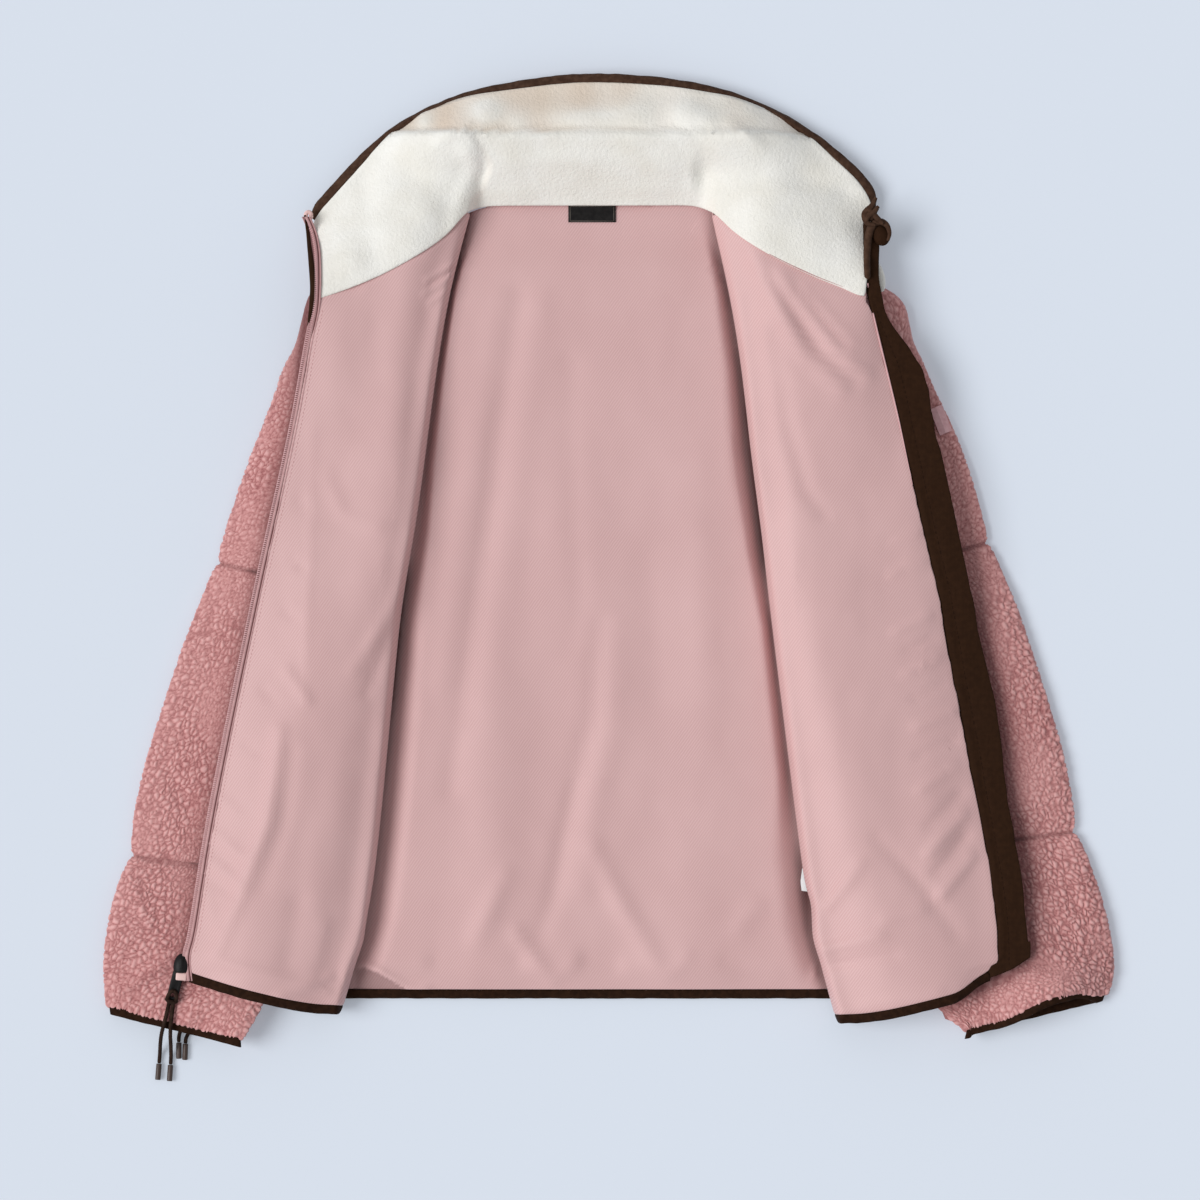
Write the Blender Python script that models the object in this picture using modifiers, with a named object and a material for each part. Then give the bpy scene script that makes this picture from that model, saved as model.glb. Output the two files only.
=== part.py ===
"""Sherpa fleece jacket with a stand collar, laid open on its back.

Sizes are in millimetres here and become metres where points are made.
x runs across the jacket from the middle of the back, y from the back hem up to the collar,
z up from the surface. The wearer's right side lies at -x.
"""
import bpy
import bmesh
from math import cos, exp, hypot, pi, sin
from mathutils import Matrix, Vector

MM = 0.001

# driving sizes, in millimetres
SHERPA = 5.0              # sherpa shell
LINING = 1.0              # twill lining
PLUSH = 2.5               # cream plush of the collar
GAP = 0.3                 # between sewn pieces
BINDING = 8.0             # width of every edge binding
FOLD_RADIUS = 2.2         # inner radius where a front turns back on itself
SLEEVE_HEIGHT = 12.0      # sleeve tube, pressed flat
SLEEVE_CROWN = 2.5        # what its middle stands above that
PRESSED = 1.6             # crown of the hollow where a sleeve is pressed flat
SEAM_PINCH, SEAM_SPLIT = 0.82, 0.005                 # a sleeve seam's height, and half its gap in rows
INNER_WALL = 0.92         # part of the sherpa's thickness that a sleeve's wall takes
CUFF_SKIN, CUFF_WALL = 0.4, 0.85                     # the cuff binding's inset, and its wall's share
ROUND_END = 0.87          # reach of the rounded side of a flattened tube
OPEN_FROM, OPEN_LEAN = 6.0, 0.7                      # a mouth that stands open arches outward
CLOTH = SHERPA + GAP + LINING                        # lined cloth
BODY_HEIGHT = 2 * SHERPA + 2 * LINING + 3 * GAP      # back and lower front, both lined
DRAPE_START, DRAPE_RUN = 12.0, 45.0                  # where a sleeve comes down beside the body
REST_ON_SLEEVE = 5.8      # looseness of a front over its sleeve
FLAP_WIDTH, FLAP_THICK, FLAP_FLATTER = 27.0, 2.0, 0.35
TAPE_WIDTH, TAPE_THICK = 6.0, 1.8
SLIDER_WIDE, SLIDER_LONG = 12.0, 14.4
SLIDER_PLACE = (-328.5, 29.5, 26.6)                  # middle of the pull tab's pin
SLIDER_TURN = 165.3       # degrees; the tab then points down and outward
PIN_RADIUS, TAB_LONG, TAB_DROP = 0.8, 31.0, 12.0
CORD_RADIUS, TIP_RADIUS, TIP_LONG = 1.5, 2.2, 13.0
SLANT = 0.3               # room for the tab's slanted end before the cord
UPPER = 5                 # first point of a front's row that belongs to its upper layer
NECK_Y = 637.0            # back neck seam
RIDGE_Y = 692.0           # where the collar folds over itself

# body outline, right half: height up the back, half width
BODY_EDGE = [(0, 262), (210, 250), (424, 236), (470, 207), (520, 200), (572, 206)]

# fronts: crease x y, front edge x y, side seam x y, width over which the fold fills out, dip of
# the row between its ends
FRONT_RIGHT = [
    (-198, -4, -319, 23, -258, 9, 60, 3.5),
    (-178, 64, -311, 77, -255, 70, 50, 1),
    (-170, 128, -303, 130, -252, 128, 42, 0),
    (-164, 191, -293, 185, -249, 191, 30, 0),
    (-158, 254, -281, 238, -246, 254, 22, 0),
    (-152, 318, -274, 292, -241, 312, 15, 0),
    (-140, 382, -263, 346, -237, 370, 14, 0),
    (-132, 446, -248, 399, -221, 430, 15, 0),
    (-124, 510, -235, 454, -206, 478, 25, 2),
    (-114, 573, -226, 507, -200, 520, 35, 6),
    (-98, 634, -219, 560, -205, 566, 40, 13.5),
]
FRONT_LEFT = [
    (193, -11, 320, 16, 258, 9, 55, 3.5),
    (175, 54, 322, 70, 255, 70, 48, 1),
    (166, 118, 314, 126, 252, 128, 42, 0),
    (158, 182, 305, 180, 249, 191, 32, 0),
    (150, 247, 291, 235, 246, 254, 24, 0),
    (142, 312, 284, 290, 241, 312, 18, 0),
    (135, 377, 272, 345, 237, 370, 16, 0),
    (126, 442, 259, 399, 221, 430, 20, 0),
    (120, 506, 247, 454, 206, 478, 25, 2),
    (110, 570, 235, 509, 200, 520, 35, 5),
    (96, 632, 220, 562, 205, 566, 40, 11),
]

# sleeves laid flat: outer edge x y, inner edge x y, lift of the underside, lift of the middle
SLEEVE_RIGHT = [
    (-221, 552, -150, 480, 0, 0),
    (-238, 520, -152, 455, 0, 1),
    (-261, 464, -157, 420, 0, 2),
    (-284, 404, -163, 364, 0, 2),
    (-301, 350, -173, 320, 0, 0),
    (-325, 288, -186, 259, 0, 2),
    (-346, 224, -200, 198, 0, 2),
    (-365, 160, -219, 138, 0, 2),
    (-370, 115, -231, 96, 1, 0),
    (-384, 78, -244, 52, 3.6, 0),
    (-391, 30, -262, 0, 3.6, 0),
    (-388, -4, -280, -30, 3.6, 0),
]
SLEEVE_LEFT = [
    (235, 558, 153, 480, 0, 0),
    (254, 528, 155, 456, 0, 1),
    (280, 478, 160, 424, 0, 2),
    (303, 420, 169, 368, 0, 2),
    (318, 366, 178, 328, 0, 0),
    (341, 312, 190, 276, 0, 2),
    (358, 256, 203, 224, 0, 2),
    (379, 192, 219, 168, 0, 2),
    (388, 134, 234, 114, 0, 0),
    (405, 92, 246, 72, 0, 3),
    (420, 30, 266, 12, 0, 12),
    (413, 6, 282, -26, 0, 20),
]
CORD_NAMES = ("pull_cord", "pull_tip", "hem_cord", "hem_tip")
SEAM_ROWS = (4, 8)        # rows of the tables where one sleeve panel ends and the next starts

# collar's top edge: share of the seam's length, x, y, height of the underside there
COLLAR_TOP = [
    (0, -225, 630, 8),
    (0.043, -210, 647, 8),
    (0.092, -192, 667, 8),
    (0.143, -174, 686, 9),
    (0.201, -152, 704, 10),
    (0.263, -122, 720, 12),
    (0.308, -86, 730, 13),
    (0.368, -50, 736, 14),
    (0.443, -22, 741, 14),
    (0.505, 6, 743, 14),
    (0.617, 62, 738, 14),
    (0.696, 109, 728, 13),
    (0.755, 150, 712, 12),
    (0.817, 178, 694, 11),
    (0.888, 202, 675, 10),
    (0.952, 221, 656, 9),
    (1, 224, 634, 9),
]
COLLAR_STEPS = (0, 0.16, 0.3, 0.42, 0.52, 0.62, 0.75, 0.88, 1)
RIDGE_RISE, RIDGE_WIDTH = 24.0, 20.0

# cords: routes to the tip, x y z; the pull cord's strands start at the tab's end
PULL_A = [(-340.1, -10, 20.1), (-342.4, -19, 20.3), (-344.6, -28, 19), (-346, -36, 11),
          (-346.7, -42, 4.5), (-347.2, -47, 2.4), (-347.6, -52, 2.4)]
PULL_B = [(-336, -11, 20.1), (-337, -20, 20.3), (-337.4, -29, 19), (-337.6, -37, 11),
          (-337.9, -43, 4.5), (-338.1, -48, 2.4), (-338.4, -53, 2.4)]
HEM_A = [(-262.7, 5.6, 1.6), (-285, 1.5, 1.6), (-308, -7.5, 1.6), (-322, -17, 1.6), (-329.6, -25, 1.8),
         (-331.6, -30, 2.2), (-331.8, -35, 2.2)]
HEM_B = [(-262.7, 2, 1.6), (-283, -3, 1.6), (-303, -12.5, 1.6), (-316, -21, 1.6), (-323.5, -27.5, 1.8),
         (-326, -32, 2.2), (-326.4, -36, 2.2)]

# long soft folds of the linings: start x y, end x y, height, half width
FRONT_FOLDS = [
    (-227, 384, -230, 240, 4, 14),
    (-230, 240, -262, 112, 5, 14),
    (-262, 112, -296, 36, 4, 12),
    (114, 616, 158, 536, 5, 13),
    (146, 580, 214, 512, 5, 12),
    (278, 128, 306, 160, 6, 14),
    (250, 96, 294, 136, 5, 13),
    (190, 52, 266, 60, 5, 14),
    (300, 6, 316, 60, 11, 40),
    (316, 110, 300, 190, 3, 30),
    (-312, 10, -276, 90, 6, 40),
]
BACK_FOLDS = [
    (-84, 280, -76, 40, 5, 18),
    (-20, 420, 20, 120, 3, 24),
    (96, 420, 90, 60, 4, 20),
    (-90, 560, -96, 340, 3, 18),
    (-170, 26, -138, 12, 6, 12),
]


def blend(rows, place):
    """A row of a table between its rows, on a smooth curve through them (place runs 0 to 1)."""
    spot = min(max(place, 0.0), 1.0) * (len(rows) - 1)
    first = min(int(spot), len(rows) - 2)
    part = spot - first
    before, start = rows[max(first - 1, 0)], rows[first]
    end, after = rows[first + 1], rows[min(first + 2, len(rows) - 1)]
    out = []
    for a, b, c, d in zip(before, start, end, after):
        out.append(0.5 * (2 * b + (c - a) * part + (2 * a - 5 * b + 4 * c - d) * part ** 2
                          + (3 * b - a - 3 * c + d) * part ** 3))
    return out


def soft_step(value):
    value = min(max(value, 0.0), 1.0)
    return value * value * (3 - 2 * value)


def body_half_width(y):
    if y <= BODY_EDGE[0][0]:
        return BODY_EDGE[0][1]
    for (y0, w0), (y1, w1) in zip(BODY_EDGE, BODY_EDGE[1:]):
        if y <= y1:
            return w0 + (w1 - w0) * (y - y0) / (y1 - y0)
    return BODY_EDGE[-1][1]


def drape(x, y):
    """Height of what a sleeve lies on: the body, then the surface beside it."""
    beside = abs(x) - body_half_width(y) - DRAPE_START
    return (BODY_HEIGHT + GAP) * (1 - soft_step(beside / DRAPE_RUN))


def fold_height(folds, x, y):
    """Rise of the soft folds at a place."""
    rise = 0.0
    for x0, y0, x1, y1, height, width in folds:
        dx, dy = x1 - x0, y1 - y0
        along = min(max(((x - x0) * dx + (y - y0) * dy) / (dx * dx + dy * dy), 0), 1)
        away = hypot(x - x0 - along * dx, y - y0 - along * dy)
        rise = max(rise, height * exp(-(away / width) ** 2))
    return rise


def material(name, colour, roughness, metallic=0.0):
    found = bpy.data.materials.get(name)
    if found:
        return found
    made = bpy.data.materials.new(name)
    made.use_nodes = True
    shader = made.node_tree.nodes["Principled BSDF"]
    shader.inputs["Base Color"].default_value = (*colour, 1)
    shader.inputs["Roughness"].default_value = roughness
    shader.inputs["Metallic"].default_value = metallic
    made.diffuse_color = (*colour, 1)
    return made


def add_object(name, mesh, finish):
    piece = bpy.data.objects.new(name, mesh)
    piece.data.materials.append(finish)
    jacket.objects.link(piece)
    piece.parent = frame
    return piece


def cloth(name, rows, thickness, start, finish, turned=False):
    """A wall of cloth: an open grid through rows of points, with its thickness outside it.

    start is where the wall begins above the grid, so layers on one grid nest exactly.
    """
    across, along = len(rows[0]) - 1, len(rows) - 1
    bm = bmesh.new()
    bmesh.ops.create_grid(bm, x_segments=across, y_segments=along, size=1)
    bm.verts.ensure_lookup_table()
    for j, row in enumerate(rows):
        for i, point in enumerate(row):
            bm.verts[j * (across + 1) + i].co = Vector(point) * MM
    if turned:
        bmesh.ops.reverse_faces(bm, faces=bm.faces[:])
    mesh = bpy.data.meshes.new(name)
    bm.to_mesh(mesh)
    bm.free()
    mesh.shade_smooth()
    piece = add_object(name, mesh, finish)
    wall = piece.modifiers.new("wall", "SOLIDIFY")
    wall.thickness = thickness * MM
    wall.offset = 2 * start / thickness + 1
    wall.use_even_offset = False
    return piece


def loft(name, rings, finish, closed=False, hollow=None):
    """A closed solid through rings of points; hollow holds the matching inner rings of a tube wall."""
    bm = bmesh.new()
    count = len(rings[0])

    def skin(layers, inward):
        made = [[bm.verts.new(Vector(p) * MM) for p in ring] for ring in layers]
        pairs = list(zip(made, made[1:])) + ([(made[-1], made[0])] if closed else [])
        for low, high in pairs:
            for k in range(count):
                corners = [low[k], low[(k + 1) % count], high[(k + 1) % count], high[k]]
                bm.faces.new(corners[::-1] if inward else corners)
        return made

    outer = skin(rings, False)
    if hollow:
        inner = skin(hollow, True)
        for k in range(count):
            n = (k + 1) % count
            bm.faces.new([outer[0][n], outer[0][k], inner[0][k], inner[0][n]])
            bm.faces.new([outer[-1][k], outer[-1][n], inner[-1][n], inner[-1][k]])
    elif not closed:
        bm.faces.new(outer[0][::-1])
        bm.faces.new(outer[-1])
    bmesh.ops.recalc_face_normals(bm, faces=bm.faces[:])
    mesh = bpy.data.meshes.new(name)
    bm.to_mesh(mesh)
    bm.free()
    return add_object(name, mesh, finish)


def edge_strip(name, points, ups, outs, width, thickness, finish, start=2 * GAP, shift=0.0):
    """A strip sewn along an edge: points on the edge, ups through the cloth, outs away from it."""
    widths = width if isinstance(width, list) else [width] * len(points)
    rings = []
    for point, up, out, wide in zip(points, ups, outs, widths):
        point, up, out = Vector(point), Vector(up).normalized(), Vector(out).normalized()
        half, nose = thickness / 2, min(thickness / 3, wide / 3)
        shape = [(start, -half), (start + wide - nose, -half), (start + wide, -half / 2.5),
                 (start + wide, half / 2.5), (start + wide - nose, half), (start, half)]
        rings.append([point + out * a + up * (b + shift) for a, b in shape])
    return loft(name, rings, finish)


def cord(name, points, radius, finish):
    """A round cord through its route, smoothed, as a curve with a bevel."""
    curve = bpy.data.curves.new(name, "CURVE")
    curve.dimensions = "3D"
    curve.bevel_depth = radius * MM
    curve.bevel_resolution = 2
    curve.use_fill_caps = True
    length = sum((Vector(b) - Vector(a)).length for a, b in zip(points, points[1:]))
    count = max(int(length / (radius * 5)), 2)
    spline = curve.splines.new("POLY")
    spline.points.add(count)
    for k in range(count + 1):
        spline.points[k].co = (*(Vector(blend(points, k / count)) * MM), 1)
    piece = bpy.data.objects.new(name, curve)
    curve.materials.append(finish)
    jacket.objects.link(piece)
    piece.parent = frame
    return piece


def front_rows(table, folds):
    """Fluffy face of a folded front: side seam, lower layer, turn at the crease, upper layer."""
    rows = []
    for k in range(len(table)):
        crease_x, crease_y, edge_x, edge_y, side_x, side_y, fill, dip = table[k]
        crease, edge = Vector((crease_x, crease_y)), Vector((edge_x, edge_y))
        side = Vector((side_x, side_y))
        toward = (crease - edge).normalized()
        width = (crease - edge).length
        heart = crease - toward * (CLOTH + FOLD_RADIUS)
        row = []
        for part in (0, 0.5):
            spot = side.lerp(heart, part)
            row.append((spot.x, spot.y, BODY_HEIGHT))
        for degrees in (-90, -35, 35, 90):
            swing = degrees * pi / 180
            spot = heart + toward * FOLD_RADIUS * cos(swing)
            row.append((spot.x, spot.y, BODY_HEIGHT + FOLD_RADIUS * (1 + sin(swing))))
        span = width - CLOTH - FOLD_RADIUS
        low = BODY_HEIGHT + 2 * FOLD_RADIUS
        for part in (0.1, 0.22, 0.34, 0.47, 0.6, 0.73, 0.87, 1):
            spot = heart - toward * span * part
            share = part ** 0.65
            spot.y -= dip * 4 * share * (1 - share)
            full = (drape(spot.x, spot.y) + SLEEVE_HEIGHT + SLEEVE_CROWN + REST_ON_SLEEVE
                    + fold_height(folds, spot.x, spot.y))
            filled = soft_step((span * part + 4) / (fill + 4))
            row.append((spot.x, spot.y, low + (full - low) * filled))
        rows.append(row)
    return rows


def edge_of(line, inside, above):
    """Points along an edge with the directions through the cloth and away from it.

    line holds the edge's points and inside their neighbours in the cloth; above says which
    side the wall stands on (+1 or -1 times the direction of inside x line).
    """
    ups, outs = [], []
    for k, point in enumerate(line):
        along = Vector(line[min(k + 1, len(line) - 1)]) - Vector(line[max(k - 1, 0)])
        away = Vector(point) - Vector(inside[k])
        up = away.cross(along).normalized() * above
        out = along.cross(up).normalized()
        ups.append(up)
        outs.append(out if out.dot(away) > 0 else -out)
    return [Vector(point) for point in line], ups, outs


def build_front(side, table, folds):
    rows = front_rows(table, folds)
    turned = side == "right"
    cloth(f"front_{side}_outer", rows, SHERPA, 0, sherpa, turned)
    cloth(f"front_{side}_lining", rows, LINING, SHERPA + GAP, twill, turned)
    facing = -1 if side == "right" else 1
    points, ups, outs = edge_of(rows[0], rows[1], facing)
    edge_strip(f"hem_binding_{side}", points, ups, outs, BINDING, CLOTH, binding, shift=CLOTH / 2)
    return rows


def sleeve_section(row, inset, shrink=1.0):
    """One ring of a flattened sleeve; inset is how far inside the outside it runs."""
    outer_x, outer_y, inner_x, inner_y, lift, crown = row
    outer, inner = Vector((outer_x, outer_y)), Vector((inner_x, inner_y))
    across = (inner - outer).normalized()
    width = (inner - outer).length
    radius = SLEEVE_HEIGHT / 2 * shrink
    reach = width / 2 - SLEEVE_HEIGHT / 2
    middle = (outer + inner) / 2
    thin = radius - inset
    crowned = SLEEVE_CROWN * shrink + crown
    lean = OPEN_LEAN if crown > OPEN_FROM else 0
    if inset and crown <= OPEN_FROM:
        crowned = min(crowned, PRESSED)
    shape = []
    flat = (-1, -0.72, -0.44, -0.15, 0.15, 0.44, 0.72, 1)
    for part in flat:
        shape.append((part * reach, radius - thin))
    shape.append((reach + thin * ROUND_END, radius - thin * 0.5))
    shape.append((reach + thin * ROUND_END, radius + thin * 0.5))
    for part in flat[::-1]:
        arch = crowned * (1 - part * part) * (1 - lean * part)
        shape.append((part * reach, radius + thin + arch))
    shape.append((-reach - thin * ROUND_END, radius + thin * 0.5))
    shape.append((-reach - thin * ROUND_END, radius - thin * 0.5))
    ring = []
    for offset, height in shape:
        spot = middle + across * offset
        ring.append((spot.x, spot.y, height + lift + drape(spot.x, spot.y)))
    return ring


def build_sleeve(side, table):
    """Three sherpa panels and the cuff binding of one sleeve."""
    last = len(table) - 1
    spans = [(0, SEAM_ROWS[0]), (SEAM_ROWS[0], SEAM_ROWS[1]), (SEAM_ROWS[1], last)]
    for (first, end), label in zip(spans, ("upper", "middle", "lower")):
        places = [first + SEAM_SPLIT * (first > 0)] + list(range(first + 1, end)) + [end - SEAM_SPLIT]
        rows = [blend(table, place / last) for place in places]
        pinch = [1.0] * len(places)
        if first:
            pinch[0] = SEAM_PINCH
        if end < last:
            pinch[-1] = SEAM_PINCH
        outer = [sleeve_section(row, 0, tight) for row, tight in zip(rows, pinch)]
        inner = [sleeve_section(row, SHERPA * tight * INNER_WALL, tight) for row, tight in zip(rows, pinch)]
        loft(f"sleeve_{side}_{label}", outer, sherpa, hollow=inner)
    before, end = Vector(table[-2][:2]), Vector(table[-1][:2])
    toward = (end - before).normalized()
    rings, inners = [], []
    for step in (GAP, BINDING):
        ox, oy, ix, iy, lift, crown = table[-1]
        moved = (ox + toward.x * step, oy + toward.y * step, ix + toward.x * step,
                 iy + toward.y * step, lift, crown)
        rings.append(sleeve_section(moved, CUFF_SKIN))
        inners.append(sleeve_section(moved, SHERPA * CUFF_WALL))
    loft(f"cuff_binding_{side}", rings, binding, hollow=inners)


def between(rows, share):
    """The columns of a table after its first one, at a value of that first column."""
    for low, high in zip(rows, rows[1:]):
        if share <= high[0]:
            part = (share - low[0]) / (high[0] - low[0])
            return [a + (b - a) * part for a, b in zip(low[1:], high[1:])]
    return rows[-1][1:]


def collar_seam(right_neck, left_neck):
    """Points of the neck seam with the height of the collar's underside, from front to front."""
    seam = [Vector(point) for point in right_neck[::-1]]
    crease_x, crease_y = FRONT_RIGHT[-1][:2]
    seam.append(Vector((crease_x + 1, crease_y + 1, BODY_HEIGHT)))
    for x, z in ((-84, 3), (-60, 0), (-22, 0), (22, 0), (60, 0), (84, 3)):
        seam.append(Vector((x, NECK_Y, z)))
    crease_x, crease_y = FRONT_LEFT[-1][:2]
    seam.append(Vector((crease_x - 1, crease_y + 1, BODY_HEIGHT)))
    return seam + [Vector(point) for point in left_neck]


def collar_rows(seam):
    """Outside face of the collar, from its seam to just under its bound edge."""
    lengths = [0]
    for a, b in zip(seam, seam[1:]):
        lengths.append(lengths[-1] + (b.xy - a.xy).length)
    rows = []
    for point, length in zip(seam, lengths):
        top_x, top_y, top_z = between(COLLAR_TOP, length / lengths[-1])
        top = Vector((top_x, top_y))
        toward = (top - point.xy).normalized()
        start, end = point.xy + toward * 1.1, top - toward * (BINDING + 6 * GAP)
        row = []
        for part in COLLAR_STEPS:
            spot = start.lerp(end, part)
            fade = 1 - soft_step((abs(spot.x) - 140) / 60)
            ridge = RIDGE_RISE * exp(-((spot.y - RIDGE_Y) / RIDGE_WIDTH) ** 2) * fade
            ease = soft_step(part / 0.25) * soft_step((1 - part) / 0.2)
            level = point.z + (top_z - point.z) * soft_step((part - 0.1) / 0.9)
            row.append((spot.x, spot.y, level + ridge * ease))
        rows.append(row)
    return rows


def build_collar(right_neck, left_neck):
    rows = collar_rows(collar_seam(right_neck, left_neck))
    cloth("collar_outer", rows, SHERPA, 0, sherpa, True)
    cloth("collar_lining", rows, PLUSH, SHERPA + GAP, plush, True)
    height = SHERPA + GAP + PLUSH
    points, ups, outs = edge_of([row[-1] for row in rows], [row[-2] for row in rows], -1)
    edge_strip("collar_binding", points, ups, outs, BINDING, height, binding, 6 * GAP, height / 2)
    return rows


def soften(vectors):
    """The same directions, each evened out with its neighbours."""
    last = len(vectors) - 1
    return [(vectors[max(k - 1, 0)] + 2 * vectors[k] + vectors[min(k + 1, last)]).normalized()
            for k in range(last + 1)]


def front_edge(rows, rim, rim_inside, above):
    """The long edge of a front and of the collar above it, with softened directions."""
    edge = [row[-1] for row in rows] + list(rim)
    inside = [row[-2] for row in rows] + list(rim_inside)
    points, ups, outs = edge_of(edge, inside, above)
    return points, soften(ups), soften(outs)


def build_zip_sides(right, left, collar):
    """Zip tapes on both front edges, up the collar's ends, and the wind flap over the left one."""
    points, ups, outs = front_edge(right, collar[0][2:-1], collar[1][2:-1], -1)
    for place, part in ((1, 0.26), (2, 0.34)):
        points.insert(place, points[0].lerp(points[place], part))
        ups.insert(place, ups[0])
        outs.insert(place, outs[0])
    widths = [1.6, 1.6] + [TAPE_WIDTH] * (len(points) - 2)
    edge_strip("zip_tape_right", points, ups, outs, widths, TAPE_THICK, tape, 3 * GAP, CLOTH / 2)

    points, ups, outs = front_edge(left, collar[-1][2:6], collar[-2][2:6], 1)
    narrow = [25, 19, 14, 10, 9, 9, 9]
    widths = [FLAP_WIDTH] * (len(points) - len(narrow)) + narrow
    flap_level = CLOTH - FLAP_THICK / 2
    tape_level = flap_level - FLAP_THICK / 2 - 3 * GAP - TAPE_THICK / 2
    flap_line = [point + up * flap_level for point, up in zip(points, ups)]
    tape_line = [point + up * tape_level for point, up in zip(points, ups)]
    for k, out in enumerate(outs):      # the flap is stiffer than the cloth, and stands out flatter
        out.z *= FLAP_FLATTER
        out.normalize()
        ups[k] = (ups[k] - out * ups[k].dot(out)).normalized()
    edge_strip("wind_flap", flap_line, ups, outs, widths, FLAP_THICK, flap, 4 * GAP)
    edge_strip("zip_tape_left", tape_line, ups, outs, [wide / 2 for wide in widths], TAPE_THICK,
               tape, 4 * GAP)


def block(name, size, place, finish, bevel=0.0):
    """A box with its size and middle given in the frame of the zip slider."""
    bm = bmesh.new()
    bmesh.ops.create_cube(bm, size=1)
    bmesh.ops.scale(bm, vec=Vector(size) * MM, verts=bm.verts[:])
    bmesh.ops.translate(bm, vec=Vector(place) * MM, verts=bm.verts[:])
    if bevel:
        upright = [e for e in bm.edges if abs(e.verts[0].co.z - e.verts[1].co.z) > size[2] * MM / 2]
        bmesh.ops.bevel(bm, geom=upright, offset=bevel * MM, segments=3, affect="EDGES", profile=0.5)
    mesh = bpy.data.meshes.new(name)
    bm.to_mesh(mesh)
    bm.free()
    piece = add_object(name, mesh, finish)
    piece.parent = zip_axis
    return piece


def rod(name, radius, length, finish):
    """A short round bar on the pull tab's axis."""
    bm = bmesh.new()
    bmesh.ops.create_cone(bm, cap_ends=True, segments=12, radius1=radius * MM, radius2=radius * MM,
                          depth=length * MM)
    bmesh.ops.rotate(bm, matrix=Matrix.Rotation(pi / 2, 3, "Y"), verts=bm.verts[:])
    mesh = bpy.data.meshes.new(name)
    bm.to_mesh(mesh)
    bm.free()
    piece = add_object(name, mesh, finish)
    piece.parent = zip_axis
    return piece


def combine(piece, other, operation):
    """Join or cut a piece with a guide shape that the model itself leaves out."""
    step = piece.modifiers.new(operation.lower(), "BOOLEAN")
    step.object = other
    step.operation = operation
    jacket.objects.unlink(other)
    guides.objects.link(other)
    other.hide_render = True
    other.display_type = "WIRE"


def build_slider():
    """Slider with two ears, its retainer box, and the pull tab on a pin between the ears."""
    body = block("zip_slider", (SLIDER_WIDE, SLIDER_LONG, 6), (0, 0, 4.5), black_plastic, 4)
    for sign in (-1, 1):
        ear = block(f"slider_ear_{sign}", (1.6, 4, 5), (sign * 3.6, 0, 1), black_plastic)
        combine(body, ear, "UNION")
    combine(body, rod("slider_bore", PIN_RADIUS + 0.3, 12, black_plastic), "DIFFERENCE")
    block("zip_box", (9, 6, 4), (0, SLIDER_LONG / 2 + GAP + 3, 4.5), pale_plastic, 1)

    tab = block("pull_tab", (4.8, 8, 2), (0, 2.6, 0), black_plastic)
    paddle = block("tab_paddle", (9, TAB_LONG - 6, 1.8), (0, 6 + (TAB_LONG - 6) / 2, 0), black_plastic, 2)
    combine(tab, paddle, "UNION")
    combine(tab, rod("tab_pin", PIN_RADIUS, 8.4, black_plastic), "UNION")
    combine(tab, block("tab_slot", (3.4, 5, 6), (0, TAB_LONG - 5, 0), black_plastic, 1), "DIFFERENCE")
    tab.rotation_euler.x = -TAB_DROP * pi / 180
    for guide in ("tab_paddle", "tab_pin", "tab_slot"):
        bpy.data.objects[guide].rotation_euler.x = -TAB_DROP * pi / 180


def tab_end(aside):
    """Place just past the pull tab's end, aside from its middle line."""
    turned = Matrix.Rotation(SLIDER_TURN * pi / 180, 3, "Z") @ Matrix.Rotation(-TAB_DROP * pi / 180, 3, "X")
    return tuple(Vector(SLIDER_PLACE) + turned @ Vector((aside, TAB_LONG + GAP + SLANT, 0)))


def build_cords():
    """Both strands of the pull cord and the two free ends of the hem drawcord, with tips."""
    aside = CORD_RADIUS + GAP / 2
    cord("pull_cord_a", [tab_end(aside)] + PULL_A, CORD_RADIUS, cord_brown)
    cord("pull_cord_b", [tab_end(-aside)] + PULL_B, CORD_RADIUS, cord_brown)
    cord("hem_cord_a", HEM_A, CORD_RADIUS, cord_brown)
    cord("hem_cord_b", HEM_B, CORD_RADIUS, cord_brown)
    for name, route in (("pull_tip_a", PULL_A), ("pull_tip_b", PULL_B),
                        ("hem_tip_a", HEM_A), ("hem_tip_b", HEM_B)):
        end = Vector(route[-1])
        toward = (end - Vector(route[-2])).normalized()
        start = end + toward * GAP
        cord(name, [tuple(start), tuple(start + toward * TIP_LONG)], TIP_RADIUS, cord_tip)


def build_labels():
    """Bare neck label, care label and sleeve patch."""
    top = SHERPA + LINING + 2 * GAP
    flat_rows = [[(-19, y, top), (19, y, top)] for y in (NECK_Y - 14, NECK_Y - GAP)]
    cloth("neck_label", flat_rows, 0.6, 0, black_label)
    flat_rows = [[(165, y, top), (171, y, top)] for y in (84, 106)]
    cloth("care_label", flat_rows, 0.4, 0, white_label)
    last = len(SLEEVE_LEFT) - 1
    low, high = (sleeve_section(blend(SLEEVE_LEFT, place / last), 0) for place in (2, 3))
    rows = []
    for part in (0.02, 0.2, 0.38):
        ring = [Vector(a).lerp(Vector(b), part) for a, b in zip(low, high)]
        rows.append([ring[16].lerp(ring[17], 0.7), ring[17], ring[18]])
    cloth("sleeve_patch", rows, 0.8, GAP + 0.4, patch, True)


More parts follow.
